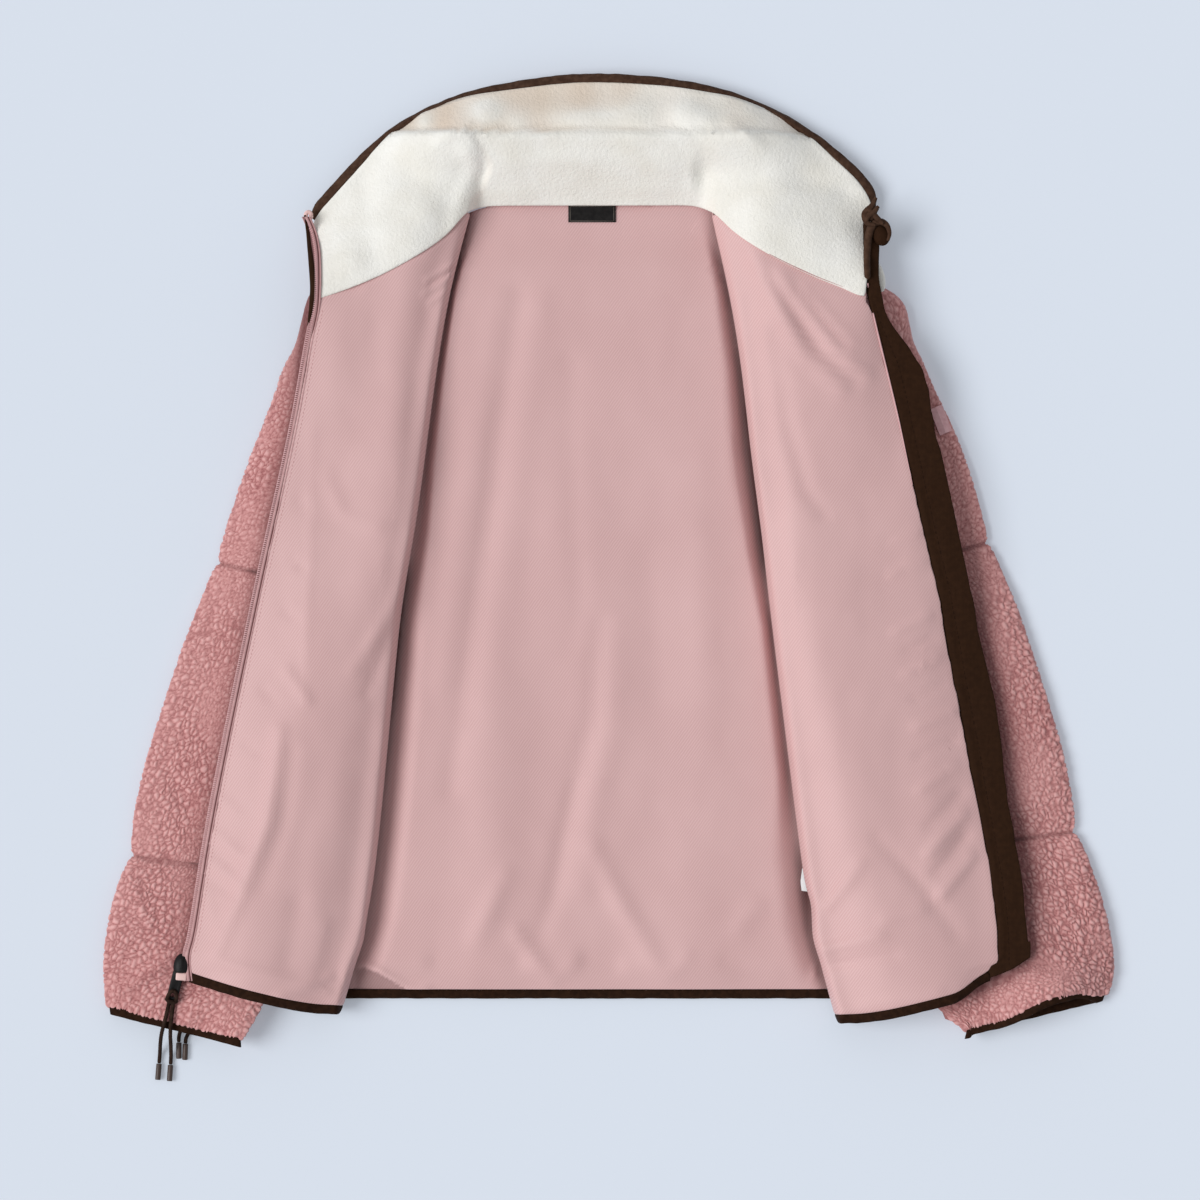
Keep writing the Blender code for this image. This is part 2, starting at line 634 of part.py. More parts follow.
def build_back():
    outline = [(-96, NECK_Y - GAP), (-206, 572), (-200, 520), (-207, 470), (-236, 424),
               (-250, 210), (-262, BINDING + GAP)]
    outline += [(-x, y) for x, y in outline[::-1]]
    flat = bpy.data.curves.new("back_outer", "CURVE")
    flat.dimensions = "2D"
    flat.fill_mode = "BOTH"
    flat.extrude = SHERPA / 2 * MM
    line = flat.splines.new("POLY")
    line.points.add(len(outline) - 1)
    for spot, (x, y) in zip(line.points, outline):
        spot.co = (x * MM, y * MM, 0, 1)
    line.use_cyclic_u = True
    piece = bpy.data.objects.new("back_outer", flat)
    flat.materials.append(sherpa)
    jacket.objects.link(piece)
    piece.parent = frame
    piece.location.z = SHERPA / 2 * MM

    rows = []
    heights = (BINDING + GAP, 45, 105, 170, 240, 310, 380, 450, 520, 585, NECK_Y - GAP)
    for y in heights:
        edge = body_half_width(y) - 2
        if y > 572:
            edge = 206 - (y - 572) * (206 - 96) / (NECK_Y - 572)
        row = []
        open_half = 180 - 90 * y / NECK_Y       # what the folded fronts leave free
        for part in (-1, -0.9, -0.72, -0.54, -0.36, -0.18, 0, 0.18, 0.36, 0.54, 0.72, 0.9, 1):
            x = part * open_half * 0.92 if abs(part) < 0.95 else part * edge
            free = 1 - soft_step((abs(x) - open_half * 0.58) / (open_half * 0.2))
            puff = 3.0 * exp(-((y - 18) / 22) ** 2)
            rise = (fold_height(BACK_FOLDS, x, y) + puff) * free * soft_step((NECK_Y - 8 - y) / 40)
            row.append((x, y, SHERPA + GAP + rise))
        rows.append(row)
    cloth("back_lining", rows, LINING, 0, twill)
    xs = (-262, -180, -90, 0, 90, 180, 262)
    points, ups, outs = edge_of([(x, BINDING + GAP, 0) for x in xs], [(x, 45, 0) for x in xs], 1)
    edge_strip("hem_binding_back", points, ups, outs, BINDING - GAP, CLOTH, binding, shift=CLOTH / 2)


for old in list(bpy.data.objects):
    bpy.data.objects.remove(old)

jacket = bpy.data.collections.new("sherpa_jacket")
bpy.context.scene.collection.children.link(jacket)
guides = bpy.data.collections.new("guides")
bpy.context.scene.collection.children.link(guides)
frame = bpy.data.objects.new("jacket_frame", None)
jacket.objects.link(frame)
zip_axis = bpy.data.objects.new("zip_axis", None)
zip_axis.parent = frame
zip_axis.location = Vector(SLIDER_PLACE) * MM
zip_axis.rotation_euler.z = SLIDER_TURN * pi / 180
jacket.objects.link(zip_axis)

sherpa = material("pink_sherpa", (0.62, 0.32, 0.32), 0.95)
twill = material("pink_twill", (0.66, 0.43, 0.42), 0.75)
plush = material("cream_plush", (0.92, 0.89, 0.83), 0.9)
binding = material("brown_binding", (0.05, 0.025, 0.015), 0.8)
flap = material("brown_flap", (0.035, 0.018, 0.01), 0.7)
tape = material("pink_zip_tape", (0.5, 0.26, 0.27), 0.7)
black_plastic = material("black_plastic", (0.012, 0.01, 0.012), 0.4)
pale_plastic = material("pale_pink_plastic", (0.75, 0.5, 0.47), 0.45)
cord_brown = material("brown_cord", (0.045, 0.025, 0.016), 0.85)
cord_tip = material("brown_cord_tip", (0.08, 0.05, 0.04), 0.5)
black_label = material("black_label", (0.015, 0.014, 0.014), 0.8)
white_label = material("white_label", (0.85, 0.85, 0.85), 0.7)
patch = material("pink_patch", (0.7, 0.4, 0.42), 0.8)

build_back()
right_rows = build_front("right", FRONT_RIGHT, FRONT_FOLDS)
left_rows = build_front("left", FRONT_LEFT, FRONT_FOLDS)
build_sleeve("right", SLEEVE_RIGHT)
build_sleeve("left", SLEEVE_LEFT)
collar = build_collar(right_rows[-1][UPPER:], left_rows[-1][UPPER:])
build_zip_sides(right_rows, left_rows, collar)
build_slider()
build_cords()
build_labels()

bpy.context.view_layer.update()
graph = bpy.context.evaluated_depsgraph_get()
spots = []
for piece in jacket.objects:
    if piece.type == "EMPTY" or piece.name.startswith(CORD_NAMES):
        continue
    shape = piece.evaluated_get(graph)
    spots += [piece.matrix_world @ vert.co for vert in shape.to_mesh().vertices]
    shape.to_mesh_clear()
low = [min(spot[k] for spot in spots) for k in range(3)]
high = [max(spot[k] for spot in spots) for k in range(3)]
frame.location = (-(low[0] + high[0]) / 2, -(low[1] + high[1]) / 2, -low[2])
print("jacket", [round(1000 * (b - a), 1) for a, b in zip(low, high)], "moved by",
      [round(1000 * v, 2) for v in frame.location])
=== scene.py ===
from math import atan2, cos, exp, hypot, pi, radians, sin

import bmesh
import bpy
from mathutils import Matrix, Vector, noise
from mathutils.bvhtree import BVHTree


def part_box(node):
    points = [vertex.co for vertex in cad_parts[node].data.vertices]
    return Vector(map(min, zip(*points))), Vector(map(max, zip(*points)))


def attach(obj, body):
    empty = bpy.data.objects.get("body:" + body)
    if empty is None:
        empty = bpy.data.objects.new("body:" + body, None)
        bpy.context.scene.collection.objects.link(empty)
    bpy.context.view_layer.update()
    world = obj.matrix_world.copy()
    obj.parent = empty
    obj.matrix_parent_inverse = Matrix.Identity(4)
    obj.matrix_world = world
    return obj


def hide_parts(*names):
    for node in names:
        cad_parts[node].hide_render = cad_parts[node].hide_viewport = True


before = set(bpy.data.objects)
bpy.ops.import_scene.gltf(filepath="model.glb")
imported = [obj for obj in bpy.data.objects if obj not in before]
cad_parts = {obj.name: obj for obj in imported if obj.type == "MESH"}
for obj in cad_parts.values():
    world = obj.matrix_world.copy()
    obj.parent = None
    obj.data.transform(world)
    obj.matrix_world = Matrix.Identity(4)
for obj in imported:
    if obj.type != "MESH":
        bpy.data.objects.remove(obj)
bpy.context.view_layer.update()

mm = 0.001
down = Vector((0, 0, -1))

# the middle of the back's hem: every place on the jacket is told from it, in millimetres
labelLow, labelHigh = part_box("neck_label")
hemMiddle = Vector(((labelLow.x + labelHigh.x) / 2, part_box("hem_binding_back")[0].y, 0))


def place(x, y, z):
    return hemMiddle + Vector((x, y, z)) * mm


def toJacket(point):
    return (point - hemMiddle) / mm


def softStep(value):
    value = min(max(value, 0.0), 1.0)
    return value * value * (3 - 2 * value)


def table(columns, *rows):
    # numbers under named columns, one row for each fold, mound or cut
    return [dict(zip(columns.split(), row)) for row in rows]


def between(rows, value):
    # reads a table of two columns between its rows: what is looked up, and what is found
    if value <= rows[0][0]:
        return rows[0][1]
    for (low, first), (high, last) in zip(rows, rows[1:]):
        if value <= high:
            return first + (last - first) * (value - low) / (high - low)
    return rows[-1][1]


# ---- materials

def startFinish(name, colour, roughness, sheen=0.0, gloss=0.5):
    made = bpy.data.materials.new(name)
    made.use_nodes = True
    made.diffuse_color = (*colour, 1)
    shader = made.node_tree.nodes["Principled BSDF"]
    shader.inputs["Base Color"].default_value = (*colour, 1)
    shader.inputs["Roughness"].default_value = roughness
    shader.inputs["Sheen Weight"].default_value = sheen
    shader.inputs["Specular IOR Level"].default_value = gloss
    return made, shader


def addNode(finish, kind, values=(), **settings):
    made = finish.node_tree.nodes.new(kind)
    for key, value in settings.items():
        setattr(made, key, value)
    for key, value in dict(values).items():
        made.inputs[key].default_value = value
    return made


def join(finish, source, target):
    finish.node_tree.links.new(source, target)


def onObject(finish, scale=(1, 1, 1), turn=0.0):
    spot = addNode(finish, "ShaderNodeTexCoord")
    turned = addNode(finish, "ShaderNodeMapping", {"Scale": scale, "Rotation": (0, 0, turn)})
    join(finish, spot.outputs["Object"], turned.inputs["Vector"])
    return turned.outputs["Vector"]


def addNoise(finish, spot, scale, detail=3, roughness=0.5):
    made = addNode(finish, "ShaderNodeTexNoise", {"Scale": scale, "Detail": detail, "Roughness": roughness})
    join(finish, spot, made.inputs["Vector"])
    return made.outputs["Fac"]


def addRibs(finish, spot, pitch, bands="X", distortion=0.8):
    # ribs a pitch apart, in millimetres
    made = addNode(finish, "ShaderNodeTexWave", {"Scale": pi / 10 / (pitch * mm), "Distortion": distortion,
                                                 "Detail": 2, "Detail Scale": 2}, bands_direction=bands)
    join(finish, spot, made.inputs["Vector"])
    return made.outputs["Fac"]


def addBump(finish, shader, height, depth, strength):
    bump = addNode(finish, "ShaderNodeBump", {"Strength": strength, "Distance": depth * mm})
    join(finish, height, bump.inputs["Height"])
    join(finish, bump.outputs["Normal"], shader.inputs["Normal"])


def stretch(finish, source, low, high):
    made = addNode(finish, "ShaderNodeMapRange", {"From Min": low, "From Max": high})
    join(finish, source, made.inputs["Value"])
    return made.outputs["Result"]


def blendColours(finish, share, low, high, shader=None):
    mixed = addNode(finish, "ShaderNodeMix", data_type="RGBA")
    if isinstance(share, float):
        mixed.inputs[0].default_value = share
    else:
        join(finish, share, mixed.inputs[0])
    for socket, colour in ((mixed.inputs[6], low), (mixed.inputs[7], high)):
        if isinstance(colour, tuple):
            socket.default_value = (*colour, 1)
        else:
            join(finish, colour, socket)
    if shader:
        join(finish, mixed.outputs[2], shader.inputs["Base Color"])
    return mixed.outputs[2]


def readPoints(finish, name):
    return addNode(finish, "ShaderNodeAttribute", attribute_name=name).outputs["Fac"]


def sherpaFinish():
    # painted shade and highlight: the pile's height darkens the colour into the gaps between the curls and
    # pales it on their crowns, which is partly the fibres' lighter tips and partly painted highlight; the
    # shade attribute mixes in painted shadow
    creviceShade, mound, crest = (0.29, 0.078, 0.080), (0.62, 0.285, 0.275), (0.86, 0.50, 0.48)
    shadow = (0.11, 0.030, 0.032)
    finish, shader = startFinish("pinkSherpa", mound, 0.95, 0.25, 0.2)
    shader.inputs["Sheen Roughness"].default_value = 0.6
    shader.inputs["Sheen Tint"].default_value = (0.95, 0.72, 0.70, 1)
    pile, shade, spot = readPoints(finish, "pile"), readPoints(finish, "shade"), onObject(finish)
    fibre, patch = addNoise(finish, spot, 1100, 4, 0.7), addNoise(finish, spot, 10, 2)
    body = blendColours(finish, stretch(finish, pile, 0.02, 0.46), creviceShade, mound)
    top = blendColours(finish, stretch(finish, pile, 0.5, 1.0), body, crest)
    fuzz = blendColours(finish, stretch(finish, fibre, 0.66, 0.30), top, mound)
    soft = blendColours(finish, 0.45, top, fuzz)
    cloudy = blendColours(finish, stretch(finish, patch, 0.35, 2.2), soft, crest)
    blendColours(finish, shade, cloudy, shadow, shader)
    addBump(finish, shader, fibre, 0.6, 0.7)
    return finish


def twillFinish():
    finish, shader = startFinish("pinkTwill", (0.60, 0.36, 0.355), 0.6, 0.18, 0.35)
    shader.inputs["Sheen Roughness"].default_value = 0.4
    shader.inputs["Sheen Tint"].default_value = (1, 0.86, 0.85, 1)
    rib = addRibs(finish, onObject(finish, turn=radians(35)), 1.9)
    cloud = addNoise(finish, onObject(finish), 12)
    ground, paler = (0.60, 0.350, 0.343), (0.645, 0.388, 0.380)
    ribTop, shadow = (0.84, 0.60, 0.59), (0.085, 0.020, 0.018)
    base = blendColours(finish, stretch(finish, cloud, 0.35, 0.7), ground, paler)
    ribbed = blendColours(finish, stretch(finish, rib, -0.1, 2.3), base, ribTop)
    blendColours(finish, readPoints(finish, "shade"), ribbed, shadow, shader)
    addBump(finish, shader, rib, 0.12, 0.35)
    return finish


def plushFinish():
    finish, shader = startFinish("creamPlush", (0.92, 0.905, 0.85), 0.95, 0.2, 0.2)
    shader.inputs["Sheen Roughness"].default_value = 0.6
    spot = onObject(finish)
    nap, cloud = addNoise(finish, spot, 380, 4, 0.7), addNoise(finish, spot, 30)
    cream, white, shadow = (0.87, 0.84, 0.765), (0.94, 0.92, 0.865), (0.70, 0.555, 0.43)
    worn = blendColours(finish, stretch(finish, cloud, 0.3, 0.65), cream, white)
    blendColours(finish, readPoints(finish, "shade"), worn, shadow, shader)
    addBump(finish, shader, nap, 0.9, 1.1)
    return finish


def wovenFinish(name, dark, light, pitch, depth, gloss=0.2, sheen=0.0, shadow=None):
    finish, shader = startFinish(name, dark, 0.85, sheen, gloss)
    spot = onObject(finish)
    both = addNode(finish, "ShaderNodeMath", operation="MULTIPLY")
    join(finish, addRibs(finish, spot, pitch, "X", 0.5), both.inputs[0])
    join(finish, addRibs(finish, spot, pitch, "Y", 0.5), both.inputs[1])
    wear = stretch(finish, addNoise(finish, spot, 260, 4), 0.35, 0.8)
    worn = blendColours(finish, wear, dark, light, shader)
    if shadow:
        blendColours(finish, readPoints(finish, "shade"), worn, shadow, shader)
    addBump(finish, shader, both.outputs["Value"], depth, 0.6)
    return finish


def mouldedFinish(name, colour, roughness, gloss=0.5):
    finish, shader = startFinish(name, colour, roughness, 0.0, gloss)
    speck = addNoise(finish, onObject(finish), 1500, 2)
    paler = tuple(min(1, part * 1.3 + 0.003) for part in colour)
    blendColours(finish, stretch(finish, speck, 0.3, 0.9), colour, paler, shader)
    addBump(finish, shader, speck, 0.05, 0.3)
    return finish


pinkSherpa, pinkTwill, creamPlush = sherpaFinish(), twillFinish(), plushFinish()

# woven: dark and light thread, pitch and depth of the weave in millimetres, gloss, sheen
brownBinding = wovenFinish("brownBinding", (0.016, 0.0055, 0.0018), (0.034, 0.0130, 0.0055), 0.9, 0.15, 0.12)
collarBrown = wovenFinish("collarBrown", (0.046, 0.021, 0.012), (0.095, 0.050, 0.031), 0.9, 0.15, 0.15)
brownFlap = wovenFinish("brownFlap", (0.024, 0.0088, 0.0030), (0.034, 0.0130, 0.0047), 1.1, 0.18, 0.12)
pinkTape = wovenFinish("pinkZipTape", (0.56, 0.315, 0.315), (0.66, 0.40, 0.395), 0.8, 0.12, 0.3,
                       shadow=(0.14, 0.045, 0.045))
pinkCoil = mouldedFinish("pinkCoil", (0.60, 0.35, 0.355), 0.45)
pinkThread = mouldedFinish("pinkThread", (0.50, 0.27, 0.27), 0.7)
blackPlastic = mouldedFinish("blackPlastic", (0.005, 0.004, 0.0042), 0.5, 0.22)
palePlastic = mouldedFinish("palePinkPlastic", (0.74, 0.49, 0.46), 0.4)
brownCord = wovenFinish("brownCord", (0.020, 0.009, 0.0055), (0.055, 0.030, 0.021), 0.7, 0.3, 0.15)
cordTipBrown = mouldedFinish("cordTipBrown", (0.060, 0.038, 0.031), 0.4, 0.35)
blackWoven = wovenFinish("blackLabel", (0.008, 0.007, 0.007), (0.02, 0.018, 0.017), 0.5, 0.08)
# the neck label's border stitches, paler than the label as a painted highlight
stitchHighlightThread = mouldedFinish("borderStitchHighlight", (0.10, 0.085, 0.07), 0.6)
whiteSatin = wovenFinish("whiteLabel", (0.80, 0.80, 0.81), (0.88, 0.88, 0.88), 0.5, 0.05, 0.4)
pinkPatch = wovenFinish("pinkPatch", (0.70, 0.38, 0.40), (0.84, 0.54, 0.55), 0.6, 0.1)
print("materials made")


# ---- stage, light and camera

stageLook = {"floor": (0.545, 0.588, 0.655), "floorGlow": 0.34, "sky": (0.95, 0.97, 1.0), "skyStrength": 0.44,
             "key": 2.12, "keyTurn": (42, 0, -86), "keySoft": 34, "lens": 180, "sensor": 36, "field": 960,
             "middle": (6.4, 320, 20)}


def setStage():
    look = stageLook
    scene = bpy.context.scene
    scene.view_settings.view_transform = "Standard"
    world = bpy.data.worlds.new("studio")
    scene.world = world
    world.use_nodes = True
    world.node_tree.nodes["Background"].inputs["Color"].default_value = (*look["sky"], 1)
    world.node_tree.nodes["Background"].inputs["Strength"].default_value = look["skyStrength"]
    light = bpy.data.lights.new("key", "SUN")
    light.energy, light.angle = look["key"], radians(look["keySoft"])
    lamp = bpy.data.objects.new("key", light)
    lamp.rotation_euler = [radians(angle) for angle in look["keyTurn"]]
    scene.collection.objects.link(lamp)
    bm = bmesh.new()
    bmesh.ops.create_grid(bm, x_segments=1, y_segments=1, size=20)
    bmesh.ops.translate(bm, vec=(0, 0, -0.2 * mm), verts=bm.verts[:])
    mesh = bpy.data.meshes.new("floor")
    bm.to_mesh(mesh)
    bm.free()
    finish, shader = startFinish("paleFloor", look["floor"], 0.9, 0.0, 0.1)
    shader.inputs["Emission Color"].default_value = (*look["floor"], 1)
    shader.inputs["Emission Strength"].default_value = look["floorGlow"]
    mesh.materials.append(finish)
    floor = bpy.data.objects.new("floor", mesh)
    scene.collection.objects.link(floor)
    camera = bpy.data.cameras.new("camera")
    camera.lens, camera.sensor_width, camera.clip_end = look["lens"], look["sensor"], 100
    eye = bpy.data.objects.new("camera", camera)
    away = look["field"] * mm * look["lens"] / look["sensor"]
    eye.location = place(*look["middle"]) + Vector((0, 0, away))
    scene.collection.objects.link(eye)
    scene.camera = eye


setStage()
print("stage set")


# ---- making pieces

def finished(name, bm, finish, body="jacket", node=None):
    mesh = bpy.data.meshes.new(name)
    bm.to_mesh(mesh)
    bm.free()
    mesh.shade_smooth()
    mesh.materials.append(finish)
    piece = bpy.data.objects.new(name, mesh)
    bpy.context.scene.collection.objects.link(piece)
    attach(piece, body)
    if node:
        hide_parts(node)
    return piece


def smoothRoute(points, count):
    # an even curve through the points
    out = []
    for k in range(count + 1):
        spot = k / count * (len(points) - 1)
        first = min(int(spot), len(points) - 2)
        part = spot - first
        a, b = points[max(first - 1, 0)], points[first]
        c, d = points[first + 1], points[min(first + 2, len(points) - 1)]
        out.append(Vector([0.5 * (2 * q + (r - p) * part + (2 * p - 5 * q + 4 * r - s) * part ** 2
                                  + (3 * q - p - 3 * r + s) * part ** 3)
                           for p, q, r, s in zip(a, b, c, d)]))
    return out


def tube(name, points, radius, finish, body="jacket", radii=None):
    curve = bpy.data.curves.new(name, "CURVE")
    curve.dimensions = "3D"
    curve.bevel_depth = radius * mm
    curve.bevel_resolution = 3
    curve.use_fill_caps = True
    spline = curve.splines.new("POLY")
    spline.points.add(len(points) - 1)
    for k, (spot, point) in enumerate(zip(spline.points, points)):
        spot.co = (*place(*point), 1)
        if radii:
            spot.radius = between(radii, k / (len(points) - 1))
    curve.materials.append(finish)
    piece = bpy.data.objects.new(name, curve)
    bpy.context.scene.collection.objects.link(piece)
    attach(piece, body)
    return piece


def addBlock(bm, middle, size, turn=None, round=0.0, steps=1):
    made = bmesh.ops.create_cube(bm, size=1)["verts"]
    bmesh.ops.scale(bm, vec=Vector(size) * mm, verts=made)
    if round:
        edges = list({edge for vert in made for edge in vert.link_edges})
        made = bmesh.ops.bevel(bm, geom=edges, offset=round * mm, segments=steps, affect="EDGES", profile=0.5,
                               material=-1)["verts"]
    if turn:
        bmesh.ops.rotate(bm, matrix=turn, verts=made)
    bmesh.ops.translate(bm, vec=place(*middle), verts=made)


# ---- cords, first because their routes are fixed

tabLook = {"pin": (-328.5, 29.5, 26.6), "turn": 165.3, "drop": 12.0, "long": 31.0}
cordLook = {"radius": 1.5, "tipRadius": 2.2, "tipLong": 13.0}
pullA = [(-340.1, -10, 20.1), (-342.4, -19, 20.3), (-344.6, -28, 19), (-346, -36, 11), (-346.7, -42, 4.5),
         (-347.2, -47, 2.4), (-347.6, -52, 2.4)]
pullB = [(-336, -11, 20.1), (-337, -20, 20.3), (-337.4, -29, 19), (-337.6, -37, 11), (-337.9, -43, 4.5),
         (-338.1, -48, 2.4), (-338.4, -53, 2.4)]
hemA = [(-262.7, 5.6, 1.6), (-285, 1.5, 1.6), (-308, -7.5, 1.6), (-322, -17, 1.6), (-329.6, -25, 1.8),
        (-331.6, -30, 2.2), (-331.8, -35, 2.2)]
hemB = [(-262.7, 2, 1.6), (-283, -3, 1.6), (-303, -12.5, 1.6), (-316, -21, 1.6), (-323.5, -27.5, 1.8),
        (-326, -32, 2.2), (-326.4, -36, 2.2)]


def onTab(aside, along, up=0.0):
    # a place on the pull tab, told from its pin
    turned = Matrix.Rotation(radians(tabLook["turn"]), 3, "Z")
    dropped = turned @ Matrix.Rotation(radians(-tabLook["drop"]), 3, "X")
    return Vector(tabLook["pin"]) + dropped @ Vector((aside, along, up))


def cordTip(name, start, toward, body, node):
    # a crimped tube over the cord's end
    long, radius = cordLook["tipLong"], cordLook["tipRadius"]
    bm = bmesh.new()
    bmesh.ops.create_cone(bm, cap_ends=True, segments=20, radius1=radius * mm, radius2=radius * mm,
                          depth=long * mm)
    caps = [edge for edge in bm.edges if abs(edge.verts[0].co.z - edge.verts[1].co.z) < 0.01 * mm]
    bmesh.ops.bevel(bm, geom=caps, offset=0.6 * mm, segments=3, affect="EDGES", profile=0.5, material=-1)
    bmesh.ops.translate(bm, vec=(0, 0, long / 2 * mm), verts=bm.verts[:])
    bmesh.ops.rotate(bm, matrix=Vector(toward).to_track_quat("Z", "Y").to_matrix(), verts=bm.verts[:])
    bmesh.ops.translate(bm, vec=place(*start), verts=bm.verts[:])
    return finished(name, bm, cordTipBrown, body, node)


def makeCord(name, route, body, node, tipNode):
    points = smoothRoute(route, 60)
    end = points[-1]
    toward = (end - points[-3]).normalized()
    tip = cordTip(name + "Tip", end + toward * 0.3, toward, body, tipNode)
    braid = [(k / 60, 1.0 + 0.05 * (-1) ** k) for k in range(61)]
    braid[-3:] = [(58 / 60, 0.95), (59 / 60, 0.8), (1, 0.8)]
    piece = tube(name, points, cordLook["radius"] * 1.04, brownCord, body, braid)
    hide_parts(node)


strandAside, strandStart = 1.65, tabLook["long"] + 0.6
makeCord("pullCordA", [onTab(strandAside, strandStart)] + [Vector(p) for p in pullA], "tab",
         "pull_cord_a", "pull_tip_a")
makeCord("pullCordB", [onTab(-strandAside, strandStart)] + [Vector(p) for p in pullB], "tab",
         "pull_cord_b", "pull_tip_b")
makeCord("hemCordA", [Vector(p) for p in hemA], "jacket", "hem_cord_a", "hem_tip_a")
makeCord("hemCordB", [Vector(p) for p in hemB], "jacket", "hem_cord_b", "hem_tip_b")

# the pull cord's loop, doubled through the tab's slot
knotRoute = [onTab(2.2, 33, 0.2), onTab(3.6, 29, 2.4), onTab(2.4, 24.5, 2.6), onTab(0, 23, 1.2),
             onTab(-2.4, 24.5, 2.6), onTab(-3.6, 29, 2.4), onTab(-2.2, 33, 0.2)]
tube("pullCordLoop", smoothRoute(knotRoute, 30), 1.6, brownCord, "tab")
wrapRoute = [onTab(-4.4, 31, 0.4), onTab(-2, 31.8, 3), onTab(2, 31.8, 3), onTab(4.4, 31, 0.4)]
tube("pullCordWrap", smoothRoute(wrapRoute, 16), 1.6, brownCord, "tab")
print("cords made")


# ---- cloth helpers

def nodeMesh(node):
    bm = bmesh.new()
    bm.from_mesh(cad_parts[node].data)
    bmesh.ops.remove_doubles(bm, verts=bm.verts[:], dist=0.01 * mm)
    bmesh.ops.join_triangles(bm, faces=bm.faces[:], angle_face_threshold=0.9, angle_shape_threshold=1.4)
    return bm


def treeOf(node):
    bm = nodeMesh(node)
    tree = BVHTree.FromBMesh(bm)
    bm.free()
    return tree


def surfaceOf(name):
    bm = bmesh.new()
    bm.from_mesh(bpy.data.objects[name].data)
    tree = BVHTree.FromBMesh(bm)
    bm.free()
    return tree


def topOf(tree, x, y, missing=None):
    hit = tree.ray_cast(place(x, y, 100), down)[0]
    return toJacket(hit).z if hit else missing


def edgeRows(tree, first, last, step, low, high):
    # where a piece begins as x runs from first to last, at every step of y
    rows, y = [], low
    while y <= high:
        x, stride = first, (1 if last > first else -1)
        while (last - x) * stride > 0:
            if topOf(tree, x, y) is not None:
                rows.append((y, x))
                break
            x += stride
        y += step
    return rows


def smoothRows(rows, count=120):
    # a flowing line through a short table of y and x
    return [(point.x, point.y) for point in smoothRoute([(y, x, 0) for y, x in rows], count)]


def roundedMesh(bm, levels, keep=0.8, sharpest=radians(55)):
    # a smooth cloth form on the coarse one, its rims kept
    crease = bm.edges.layers.float.get("crease_edge") or bm.edges.layers.float.new("crease_edge")
    for edge in bm.edges:
        if len(edge.link_faces) == 2 and edge.calc_face_angle() > sharpest:
            edge[crease] = keep
    mesh = bpy.data.meshes.new("roundingCage")
    bm.to_mesh(mesh)
    bm.free()
    cage = bpy.data.objects.new("roundingCage", mesh)
    bpy.context.scene.collection.objects.link(cage)
    step = cage.modifiers.new("round", "SUBSURF")
    step.levels = step.render_levels = levels
    shape = cage.evaluated_get(bpy.context.evaluated_depsgraph_get())
    out = bmesh.new()
    out.from_mesh(shape.to_mesh())
    shape.to_mesh_clear()
    bpy.data.objects.remove(cage)
    return out


def markOutside(bm, reach=80 * mm):
    # faces that see nothing of their own piece in front of them
    side = bm.faces.layers.int.new("outside")
    tree = BVHTree.FromBMesh(bm)
    for face in bm.faces:
        start = face.calc_center_median() + face.normal * 0.3 * mm
        face[side] = 0 if tree.ray_cast(start, face.normal, reach)[0] else 1
    return side


def splitLong(bm, longest, wanted=None):
    for attempt in range(8):
        far = [edge for edge in bm.edges if edge.calc_length() > longest
               and (wanted is None or any(wanted(face) for face in edge.link_faces))]
        if not far:
            break
        bmesh.ops.subdivide_edges(bm, edges=far, cuts=1, use_grid_fill=True)
        bmesh.ops.triangulate(bm, faces=[face for face in bm.faces if len(face.verts) > 4])
        bmesh.ops.dissolve_degenerate(bm, dist=0.0001 * mm, edges=bm.edges[:])


foldReach = 2.6        # a fold dies out this many of its widths away


def foldHeight(folds, x, y):
    # short folds: each a soft ridge, or a trough, from one place to another
    rise = 0.0
    for fold in folds:
        x0, y0, x1, y1, height, width = fold.values()
        reach = foldReach * width
        if not (min(x0, x1) - reach < x < max(x0, x1) + reach
                and min(y0, y1) - reach < y < max(y0, y1) + reach):
            continue
        dx, dy = x1 - x0, y1 - y0
        along = ((x - x0) * dx + (y - y0) * dy) / (dx * dx + dy * dy)
        near = min(max(along, 0), 1)
        away = hypot(x - x0 - near * dx, y - y0 - near * dy)
        rise += height * exp(-(away / width) ** 2)
    return rise


def chainHeight(chains, x, y):
    # long folds through several places: the nearest stretch counts once
    rise = 0.0
    for chain in chains:
        points, height, width = chain.values()
        reach = foldReach * width
        best, total = 1e9, len(points) - 1
        for k in range(total):
            (x0, y0), (x1, y1) = points[k], points[k + 1]
            if not (min(x0, x1) - reach < x < max(x0, x1) + reach
                    and min(y0, y1) - reach < y < max(y0, y1) + reach):
                continue
            dx, dy = x1 - x0, y1 - y0
            near = min(max(((x - x0) * dx + (y - y0) * dy) / (dx * dx + dy * dy), 0), 1)
            away = hypot(x - x0 - near * dx, y - y0 - near * dy)
            if away < best:
                best, place01 = away, (k + near) / total
        if best < reach:
            rise += height * exp(-(best / width) ** 2) * (0.5 + 0.5 * sin(pi * min(max(place01, 0.1), 0.9)))
    return rise


# ---- where the pieces lie

trees = {node: treeOf(node) for node in ("front_right_lining", "front_left_lining", "wind_flap",
                                         "collar_lining")}
creases = {}           # each front's fold, as y and x
for side, node in ((-1, "front_right_lining"), (1, "front_left_lining")):
    rows = []
    for y in range(-16, 640, 6):
        hit = trees[node].ray_cast(place(0, y, 15), Vector((side, 0, 0)))[0]
        if hit:
            rows.append((y, toJacket(hit).x))
    creases[side] = rows
flapRows = {1: edgeRows(trees["wind_flap"], 380, 200, 8, 24, 600),
            -1: edgeRows(trees["wind_flap"], 180, 380, 8, 24, 600)}

